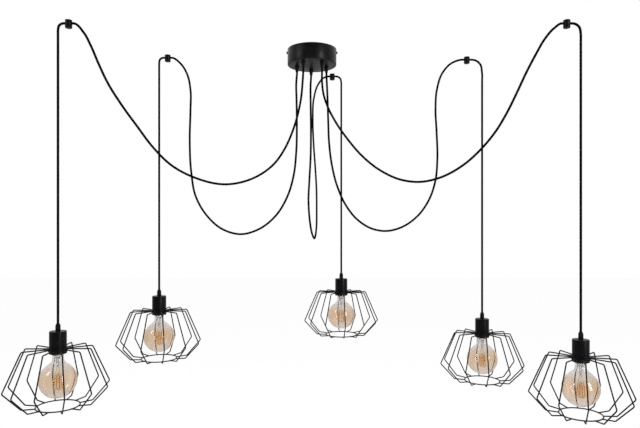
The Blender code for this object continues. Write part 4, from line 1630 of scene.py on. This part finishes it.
@dataclass
class CeilingHook:
    """Round ceiling hook: a base with a cross hole and a screw cap below it."""

    radius: float = HOOK_RADIUS
    base_height: float = HOOK_BASE_HEIGHT
    cap_height: float = 0.0064
    cap_edge: float = 0.0018
    roof: float = 0.0022
    bore: float = 0.0058
    screw_hole: float = 0.0022
    edge_round: float = 0.0004
    cutter_length: float = 0.03
    cutter_sides: int = 32
    sides: int = 64

    def base_mesh(self) -> Mesh:
        """Turn the base with its bore and screw hole, and cut the cross hole for the cord.

        Returns:
            The mesh.
        """
        foot = -self.base_height
        outline = [(self.screw_hole, 0.0), (self.radius, 0.0), (self.radius, foot)]
        outline += [(self.bore, foot), (self.bore, -self.roof), (self.screw_hole, -self.roof)]
        rims = tuple(Rim(self.radius, height, self.edge_round) for height in (0.0, foot))
        base = mesh_of(turned(outline, self.sides, rims, closed=True), "hook_base")
        seat = Matrix.Translation((0, 0, -HOOK_CORD_DROP)) @ Matrix.Rotation(QUARTER_TURN, 4, "Y")
        hole = bmesh.new()
        bmesh.ops.create_cone(
            hole,
            cap_ends=True,
            segments=self.cutter_sides,
            radius1=CORD_HOLE_RADIUS,
            radius2=CORD_HOLE_RADIUS,
            depth=self.cutter_length,
            matrix=seat,
        )
        return carve(base, loose_mesh(hole, "cross_hole"))

    def cap_mesh(self) -> Mesh:
        """Turn the rounded screw cap and the stud that pinches the cord.

        Returns:
            The mesh.
        """
        top = -self.base_height - GAP
        foot = top - self.cap_height
        stud = self.bore - GAP
        stud_top = -HOOK_CORD_DROP - CORD_HOLE_RADIUS
        outline = [(0.0, stud_top), (stud, stud_top), (stud, top)]
        outline += [(self.radius, top), (self.radius, foot), (0.0, foot)]
        rims = (
            Rim(self.radius, foot, self.cap_edge, Rounding.FULL),
            Rim(self.radius, top, self.edge_round, Rounding.FINE),
        )
        return mesh_of(turned(outline, self.sides, rims), "hook_cap")

    def build(self, spots: Spots, finishes: Finishes) -> None:
        """Add the five hooks.

        Args:
            spots: The lamps' places.
            finishes: The coats.
        """
        base = LampPiece("hook_post", self.base_mesh(), finishes.plastic, "hook_base")
        cap = LampPiece("hook_foot", self.cap_mesh(), finishes.plastic, "hook_cap")
        add_at(spots, Carrier.ROOT, [base, cap])


# Lamps


@dataclass
class Lampholder:
    """Black barrel with its flange, threaded skirt and socket, its ring nut and its cord grip."""

    radius: float = 0.0215
    height: float = HOLDER_HEIGHT
    shoulder: float = 0.0018
    seam_height: float = 0.0100
    seam_width: float = 0.0012
    seam_depth: float = 0.0004
    flange_radius: float = 0.026
    flange_foot: float = 0.0011
    flange_top: float = 0.0041
    flange_round: float = 0.0006
    skirt_radius: float = 0.0197
    skirt_length: float = 0.011
    thread_turns: int = 5
    thread_pitch: float = 0.0020
    thread_depth: float = 0.0005
    thread_lead: float = 0.7
    thread_shares: Shares = ((0.0, 0.0), (1.0, 0.3), (1.0, 0.5), (0.0, 0.8))
    socket_radius: float = 0.0138
    socket_top: float = 0.014
    recess_radius: float = 0.005
    recess_depth: float = 0.0085
    nut_top_radius: float = 0.0245
    nut_foot_radius: float = 0.0215
    nut_inner_radius: float = 0.0200
    nut_top: float = -0.0011
    nut_height: float = 0.011
    bead_height: float = 0.0038
    bead_depth: float = 0.0012
    rib_depth: float = 0.00045
    facets_per_rib: int = 3
    grip_radius: float = 0.0065
    grip_body: float = 0.013
    grip_cone: float = 0.006
    grip_tip: float = 0.0048
    grip_stub_radius: float = 0.0047
    grip_stub: float = 0.008
    grip_groove_height: float = 0.0094
    edge_round: float = 0.0004
    sides: int = 96
    nut_sides: int = 144
    grip_sides: int = 48

    def _groove(self, radius: float, height: float) -> Profile:
        """Outline a fine groove, read downwards.

        Args:
            radius: Radius of the wall that it is in.
            height: Its middle.

        Returns:
            Its four points.
        """
        inside, half = radius - self.seam_depth, self.seam_width / 2
        rows = ((radius, half), (inside, half / 2), (inside, -half / 2), (radius, -half))
        return [(across, height + up) for across, up in rows]

    def barrel_mesh(self) -> Mesh:
        """Turn the barrel with its shoulder, seam, flange, threaded skirt and socket.

        Returns:
            The mesh.
        """
        recess, skirt_foot = self.height - self.recess_depth, -self.skirt_length
        outline = [(0.0, recess), (self.recess_radius, recess)]
        outline += [(self.recess_radius, self.height), (self.radius, self.height)]
        outline += self._groove(self.radius, self.seam_height)
        outline += [(self.radius, self.flange_top), (self.flange_radius, self.flange_top)]
        outline += [(self.flange_radius, self.flange_foot), (self.skirt_radius, self.flange_foot)]
        for turn in range(self.thread_turns):
            top = self.flange_foot - self.thread_pitch * (self.thread_lead + turn)
            for deep, down in self.thread_shares:
                across = self.skirt_radius - self.thread_depth * deep
                outline.append((across, top - self.thread_pitch * down))
        outline += [(self.skirt_radius, skirt_foot), (self.socket_radius, skirt_foot)]
        outline += [(self.socket_radius, self.socket_top), (0.0, self.socket_top)]
        rims = (
            Rim(self.radius, self.height, self.shoulder, Rounding.BROAD),
            Rim(self.flange_radius, self.flange_top, self.flange_round),
            Rim(self.flange_radius, self.flange_foot, self.flange_round),
            Rim(self.skirt_radius, skirt_foot, self.edge_round, Rounding.FINE),
        )
        return mesh_of(turned(outline, self.sides, rims), "barrel")

    def nut_mesh(self) -> Mesh:
        """Turn the tapered ring nut with a bead at its top, and press its finger ribs.

        Returns:
            The mesh.
        """
        top, foot = self.nut_top, self.nut_top - self.nut_height
        step = top - self.bead_height
        outline = [(self.nut_inner_radius, top), (self.nut_top_radius, top)]
        outline += [(self.nut_top_radius, step)]
        outline += [(self.nut_top_radius - self.bead_depth, step - self.bead_depth / 2)]
        outline += [(self.nut_foot_radius, foot), (self.nut_inner_radius, foot)]
        shape = turned(outline, self.nut_sides, closed=True)
        for vert in shape.verts:
            reach = vert.co.xy.length
            facet = round(math.atan2(vert.co.y, vert.co.x) / math.tau * self.nut_sides)
            outside = reach > self.nut_foot_radius - RING_NEARNESS
            if outside and vert.co.z < step - RING_NEARNESS and facet % self.facets_per_rib == 0:
                vert.co.xy *= (reach - self.rib_depth) / reach
        for height in (top, step):
            Rim(self.nut_top_radius, height, self.edge_round).round_off(shape)
        return mesh_of(shape, "ring_nut")

    def grip_mesh(self) -> Mesh:
        """Turn the cord grip: straight collar with a groove, tapered mouth and stub.

        Returns:
            The mesh.
        """
        foot = self.height + GAP
        body_top = foot + self.grip_body
        tip, stub_foot = body_top + self.grip_cone, foot - self.grip_stub
        outline = [(CORD_HOLE_RADIUS, tip), (self.grip_tip, tip), (self.grip_radius, body_top)]
        outline += self._groove(self.grip_radius, foot + self.grip_groove_height)
        outline += [(self.grip_radius, foot), (self.grip_stub_radius, foot)]
        outline += [(self.grip_stub_radius, stub_foot), (CORD_HOLE_RADIUS, stub_foot)]
        edges = ((self.grip_tip, tip), (self.grip_radius, body_top), (self.grip_radius, foot))
        rims = tuple(Rim(*edge, self.edge_round) for edge in edges)
        return mesh_of(turned(outline, self.grip_sides, rims, closed=True), "cord_grip")

    def build(self, spots: Spots, finishes: Finishes) -> None:
        """Add the five lampholders with their nuts and grips.

        Args:
            spots: The lamps' places.
            finishes: The coats.
        """
        pieces = [
            LampPiece("barrel", self.barrel_mesh(), finishes.plastic, "lampholder"),
            LampPiece("ribbed_nut", self.nut_mesh(), finishes.plastic, "ring_nut"),
            LampPiece("grip_collar", self.grip_mesh(), finishes.plastic, "cord_grip"),
        ]
        add_at(spots, Carrier.LAMP, pieces)


@dataclass
class WireCage:
    """Welded cage: a pierced plate, twelve bent wires, a bottom ring and its weld beads."""

    wires: int = 12
    wire_radius: float = 0.00175
    turns_deg: tuple[float, ...] = (1.5, 22.5, 4.0, 22.5, 12.5)
    plate_inner: float = 0.0200
    plate_radius: float = 0.029
    plate_thickness: float = 0.0016
    plate_round: float = 0.0004
    overlap: float = 0.004
    corners: Shares = ((0.086, 0.0), (0.130, -0.101), (0.086, -0.148))
    ring_radius: float = 0.054
    ring_drop: float = 0.1505
    bend_radius: float = 0.0055
    bend_steps: int = 6
    ring_bead: Triple = (0.0025, 0.0028, 0.0021)
    plate_bead: Triple = (0.0034, 0.0024, 0.0016)
    sides: int = 12
    ring_steps: int = 96

    def _wire(self) -> Shape:
        """Bend one wire in the X-Z plane round its three corners down to the ring.

        Returns:
            The wire.
        """
        start = Vector((self.plate_radius - self.overlap, 0, 0))
        stops = [Vector((across, 0, up)) for across, up in self.corners]
        stops.append(Vector((self.ring_radius - self.wire_radius, 0, -self.ring_drop)))
        rod = BentRod(self.wire_radius, self.sides, start, stops[0] - start)
        for stop, following in zip(stops, stops[1:]):
            turn = (stop - rod.place).angle(following - stop)
            setback = self.bend_radius * math.tan(turn / 2)
            rod.push((stop - rod.place).length - setback)
            rod.bend(following - stop, self.bend_radius, self.bend_steps)
        rod.push((stops[-1] - rod.place).length)
        return rod.close()

    @staticmethod
    def _add_bead(base: Shape, place: Triple, half_lengths: Triple) -> None:
        """Add one weld bead in its place."""
        seat = Matrix.Translation(place) @ Matrix.Diagonal((*half_lengths, 1.0))
        bmesh.ops.create_icosphere(base, subdivisions=2, radius=1.0, matrix=seat)

    def _ring(self) -> Shape:
        """Sweep the bottom ring.

        Returns:
            The ring.
        """
        ring = bmesh.new()
        place = Matrix.Translation((self.ring_radius, 0, -self.ring_drop))
        seat = place @ Matrix.Rotation(QUARTER_TURN, 4, "X")
        bmesh.ops.create_circle(ring, segments=self.sides, radius=self.wire_radius, matrix=seat)
        turn_section(ring, ring.verts[:] + ring.edges[:], self.ring_steps)
        return ring

    def _plate(self) -> Shape:
        """Turn the pierced plate.

        Returns:
            The plate.
        """
        half = self.plate_thickness / 2
        outline = [(self.plate_inner, half), (self.plate_radius, half)]
        outline += [(self.plate_radius, -half), (self.plate_inner, -half)]
        rims = (
            Rim(self.plate_radius, half, self.plate_round, Rounding.FINE),
            Rim(self.plate_radius, -half, self.plate_round, Rounding.FINE),
        )
        return turned(outline, self.ring_steps, rims, closed=True)

    def mesh(self) -> Mesh:
        """Spread the wires round the axis and add the ring and the plate.

        Returns:
            The mesh, whose first wire points along X.
        """
        whole = self._wire()
        self._add_bead(whole, (self.ring_radius, 0, -self.ring_drop), self.ring_bead)
        self._add_bead(whole, (self.plate_radius, 0, 0), self.plate_bead)
        spread_round(whole, self.wires)
        join_shape(whole, self._ring())
        join_shape(whole, self._plate())
        return mesh_of(whole, "wire_cage")

    def build(self, spots: Spots, finishes: Finishes) -> None:
        """Add the five cages, each turned about its cord as it hangs.

        Args:
            spots: The lamps' places.
            finishes: The coats.
        """
        mesh = self.mesh()
        for spot, turn in zip(spots, self.turns_deg):
            hung = mesh.copy()
            hung.transform(Matrix.Rotation(math.radians(turn), 4, "Z"))
            add_at([spot], Carrier.LAMP, [LampPiece("wire_cage", hung, finishes.wire, "cage")])


# Bulbs


@dataclass
class GlobeBulb:
    """Globe bulb: blown glass, screw cap, glass stem and filament strips."""

    radius: float = 0.0475
    centre_drop: float = 0.082
    wall: float = 0.0010
    neck_radius: float = 0.0145
    neck_top: float = -0.015
    neck_low: float = -0.025
    shoulder_deg: float = 40.0
    shoulder_pull: float = 0.010
    shoulder_steps: int = 12
    globe_steps: int = 30
    sides: int = 72
    tint_start: float = -0.036
    tint_length: float = 0.036
    foot_length: float = 0.038
    foot_loss: float = 0.7
    cap_radius: float = 0.0132
    cap_rim: float = -0.0147
    cap_height: float = 0.0205
    cap_sides: int = 64
    thread_pitch: float = 0.0036
    thread_depth: float = 0.0007
    thread_turns: int = 4
    thread_start: float = 0.75
    thread_steps: int = 8
    crown_radius: float = 0.0075
    crown_slope: float = 0.002
    crown_rise: float = 0.001
    insulator_rows: Shares = ((0.0, 0.0008), (0.0073, 0.0008), (0.0061, 0.0034), (0.0, 0.0034))
    insulator_round: float = 0.0003
    contact_radius: float = 0.0045
    contact_rows: Shares = ((0.0, 0.003), (1.0, 0.003), (1.0, 0.0038), (0.75, 0.0046), (0.0, 0.005))
    crown_sides: int = 40
    flare_radius: float = 0.0112
    flare_top: float = -0.0160
    tube_radius: float = 0.0042
    tube_shares: Shares = ((1.7, -1.3), (1.1, -2.6))
    pinch: float = -0.0460
    pinch_shares: Shares = ((1.0, 2.0), (1.0, 1.0))
    post_radius: float = 0.0011
    post_foot: float = -0.1085
    post_shares: Shares = ((2.6, 2.0), (1.0, 0.0))
    button_shares: Shares = ((1.0, 4.0), (1.9, 3.0), (2.1, 1.6), (1.4, 0.3))
    stem_sides: int = 32
    strip_count: int = 8
    strip_size: Triple = (0.0018, 0.0028, 0.034)
    strip_round: float = 0.00045
    strip_reach: float = 0.0095
    strip_drop: float = 0.0880
    strip_lean_deg: float = -5.0
    lead_radius: float = 0.00025
    lead_rise: float = 0.006
    lead_fall: float = 0.002
    wire_sides: int = 8
    feed_radius: float = 0.0006
    feed_reach: float = 0.0080
    feed_bend: float = 0.003
    feed_steps: int = 4

    def outline(self, inset: float) -> Profile:
        """Work out one face of the glass, from the neck down to the pole.

        Args:
            inset: How far it lies inside the outer face.

        Returns:
            Radius and height of each point.
        """
        radius = self.radius - inset
        start = math.radians(90 - self.shoulder_deg)
        shoulder = Vector((radius * math.cos(start), radius * math.sin(start) - self.centre_drop))
        along = Vector((math.sin(start), -math.cos(start)))
        neck = Vector((self.neck_radius - inset, self.neck_low))
        below = neck - Vector((0, self.shoulder_pull))
        pulls = (neck, below, shoulder - along * self.shoulder_pull, shoulder)
        points = [(neck.x, self.neck_top), (neck.x, (self.neck_top + self.neck_low) / 2)]
        for index in range(self.shoulder_steps):
            t = index / self.shoulder_steps
            weights = ((1 - t) ** 3, 3 * t * (1 - t) ** 2, 3 * t * t * (1 - t), t**3)
            spot = sum((pull * weight for pull, weight in zip(pulls, weights)), Vector((0, 0)))
            points.append((spot.x, spot.y))
        for index in range(self.globe_steps):
            angle = start - (math.pi / 2 + start) * index / self.globe_steps
            points.append((radius * math.cos(angle), radius * math.sin(angle) - self.centre_drop))
        return [*points, (0.0, -radius - self.centre_drop)]

    def tint_at(self, height: float) -> float:
        """Work out how strong the tint is: clear at the neck, full on the globe, paler at its foot.

        Args:
            height: Height on the glass.

        Returns:
            The tint from 0 to 1.
        """
        share = min(1.0, max(0.0, (self.tint_start - height) / self.tint_length))
        rise = height + self.centre_drop + self.radius
        foot = 1.0 - min(1.0, rise / self.foot_length)
        return share * share * (3 - 2 * share) * (1.0 - self.foot_loss * foot)

    def glass_mesh(self) -> Mesh:
        """Turn the blown envelope with a real wall, open at its neck, and mark its tint.

        Returns:
            The mesh.
        """
        shape = turned(self.outline(self.wall)[::-1] + self.outline(0.0), self.sides)
        tinted = shape.verts.layers.float.new(Mark.TINTED.value)
        for vert in shape.verts:
            vert[tinted] = self.tint_at(vert.co.z)
        return mesh_of(shape, "globe")

    def cap_mesh(self) -> Mesh:
        """Turn the screw cap with its rolled thread.

        Returns:
            The mesh.
        """
        rim, top = self.cap_rim, self.cap_rim + self.cap_height
        skirt = rim + self.thread_start * self.thread_pitch
        wide = self.cap_radius - self.thread_depth / 2
        inside, lip = wide - self.thread_depth, rim + self.thread_depth
        outline = [(0.0, lip), (inside, lip), (inside, rim)]
        outline += [(wide, rim), (wide, skirt - self.thread_depth)]
        for index in range(self.thread_turns * self.thread_steps + 1):
            wave = 0.5 + 0.5 * math.cos(math.tau * index / self.thread_steps)
            rise = skirt + self.thread_pitch * index / self.thread_steps
            outline.append((self.cap_radius - self.thread_depth * wave, rise))
        crown = top + self.crown_rise
        outline.append((self.crown_radius + self.crown_slope, top))
        outline += [(self.crown_radius, crown), (0.0, crown)]
        return mesh_of(turned(outline, self.cap_sides), "screw_cap")

    def crown_mesh(self) -> Mesh:
        """Turn the pale insulator of the cap's crown.

        Returns:
            The mesh.
        """
        top = self.cap_rim + self.cap_height
        outline = [(across, top + up) for across, up in self.insulator_rows]
        rims = (Rim(*outline[2], self.insulator_round),)
        return mesh_of(turned(outline, self.crown_sides, rims), "crown")

    def contact_mesh(self) -> Mesh:
        """Turn the solder button at the top of the cap.

        Returns:
            The mesh.
        """
        top = self.cap_rim + self.cap_height
        outline = [(self.contact_radius * share, top + up) for share, up in self.contact_rows]
        return mesh_of(turned(outline, self.crown_sides), "contact")

    def stem_mesh(self) -> Mesh:
        """Turn the flared glass stem, drawn down to a thin post with a button at its foot.

        Returns:
            The mesh, marked as tinted all over.
        """
        tube, post = self.tube_radius, self.post_radius
        top, wide = self.flare_top, self.flare_radius
        outline = [(0.0, top), (wide, top), (wide, top - tube / 4)]
        outline += scaled(tube, top, self.tube_shares)
        outline += scaled(tube, self.pinch, self.pinch_shares)
        outline += scaled(post, self.pinch, self.post_shares)
        outline += scaled(post, self.post_foot, self.button_shares)
        shape = turned([*outline, (0.0, self.post_foot)], self.stem_sides)
        tinted = shape.verts.layers.float.new(Mark.TINTED.value)
        for vert in shape.verts:
            vert[tinted] = 1.0
        return mesh_of(shape, "stem")

    def strips_mesh(self) -> Mesh:
        """Stand the filament strips in a slim cone round the post.

        Returns:
            The mesh.
        """
        shape = block(self.strip_size)
        face_layer(shape, Mark.RUBBED)
        creases = [edge for edge in shape.edges if is_crease(edge)]
        round_edges(shape, creases, self.strip_round, Rounding.PLAIN)
        lean = Matrix.Rotation(math.radians(self.strip_lean_deg), 4, "Y")
        seat = Matrix.Translation((self.strip_reach, 0, -self.strip_drop)) @ lean
        bmesh.ops.transform(shape, verts=shape.verts, matrix=seat)
        spread_round(shape, self.strip_count)
        return mesh_of(shape, "filament_strips")

    def leads_mesh(self) -> Mesh:
        """Bend the two feed wires down the neck, and the fine leads at both ends of the strips.

        Returns:
            The mesh.
        """
        half = self.strip_size[2] / 2
        lean = half * math.sin(math.radians(self.strip_lean_deg))
        top = Vector((self.strip_reach + lean, 0, half - self.strip_drop))
        low = Vector((self.strip_reach - lean, 0, -half - self.strip_drop))
        shape = bmesh.new()
        for rise, end in ((self.lead_rise, top), (-self.lead_fall, low)):
            start = Vector((0, 0, end.z + rise))
            lead = BentRod(self.lead_radius, self.wire_sides, start, end - start)
            lead.push((end - start).length)
            join_shape(shape, lead.close())
        spread_round(shape, self.strip_count)
        start = Vector((self.tube_radius / 2, 0, self.flare_top))
        feed = BentRod(self.feed_radius, self.wire_sides, start, Vector((0, 0, -1)))
        feed.push(self.flare_top - self.pinch)
        aim = Vector((self.feed_reach, 0, top.z))
        feed.bend(aim - feed.place, self.feed_bend, self.feed_steps)
        feed.push((aim - feed.place).length)
        pair = feed.close()
        spread_round(pair, 2)
        join_shape(shape, pair)
        return mesh_of(shape, "lead_wires")

    def build(self, spots: Spots, finishes: Finishes) -> None:
        """Add the five bulbs.

        Args:
            spots: The lamps' places.
            finishes: The coats.
        """
        pieces = [
            LampPiece("globe", self.glass_mesh(), finishes.amber, "bulb_glass"),
            LampPiece("screw_cap", self.cap_mesh(), finishes.nickel, "bulb_core"),
            LampPiece("crown", self.crown_mesh(), finishes.white),
            LampPiece("contact", self.contact_mesh(), finishes.nickel),
            LampPiece("stem", self.stem_mesh(), finishes.clear),
            LampPiece("filament_strips", self.strips_mesh(), finishes.phosphor),
            LampPiece("lead_wires", self.leads_mesh(), finishes.nickel),
        ]
        add_at(spots, Carrier.BULB, pieces)


# The whole light


def main() -> None:
    """Build the studio and dress the frame."""
    logging.basicConfig(level=logging.INFO, format="%(message)s")
    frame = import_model()
    Studio().build()
    finishes = Finishes()
    spots = [LampSpot.read(number) for number in LAMP_NUMBERS]
    CordSet().build(spots, finishes)
    Canopy().build(finishes, frame["nodes"])
    for part in (CeilingHook(), Lampholder(), WireCage(), GlobeBulb()):
        part.build(spots, finishes)


if __name__ == "__main__":
    main()
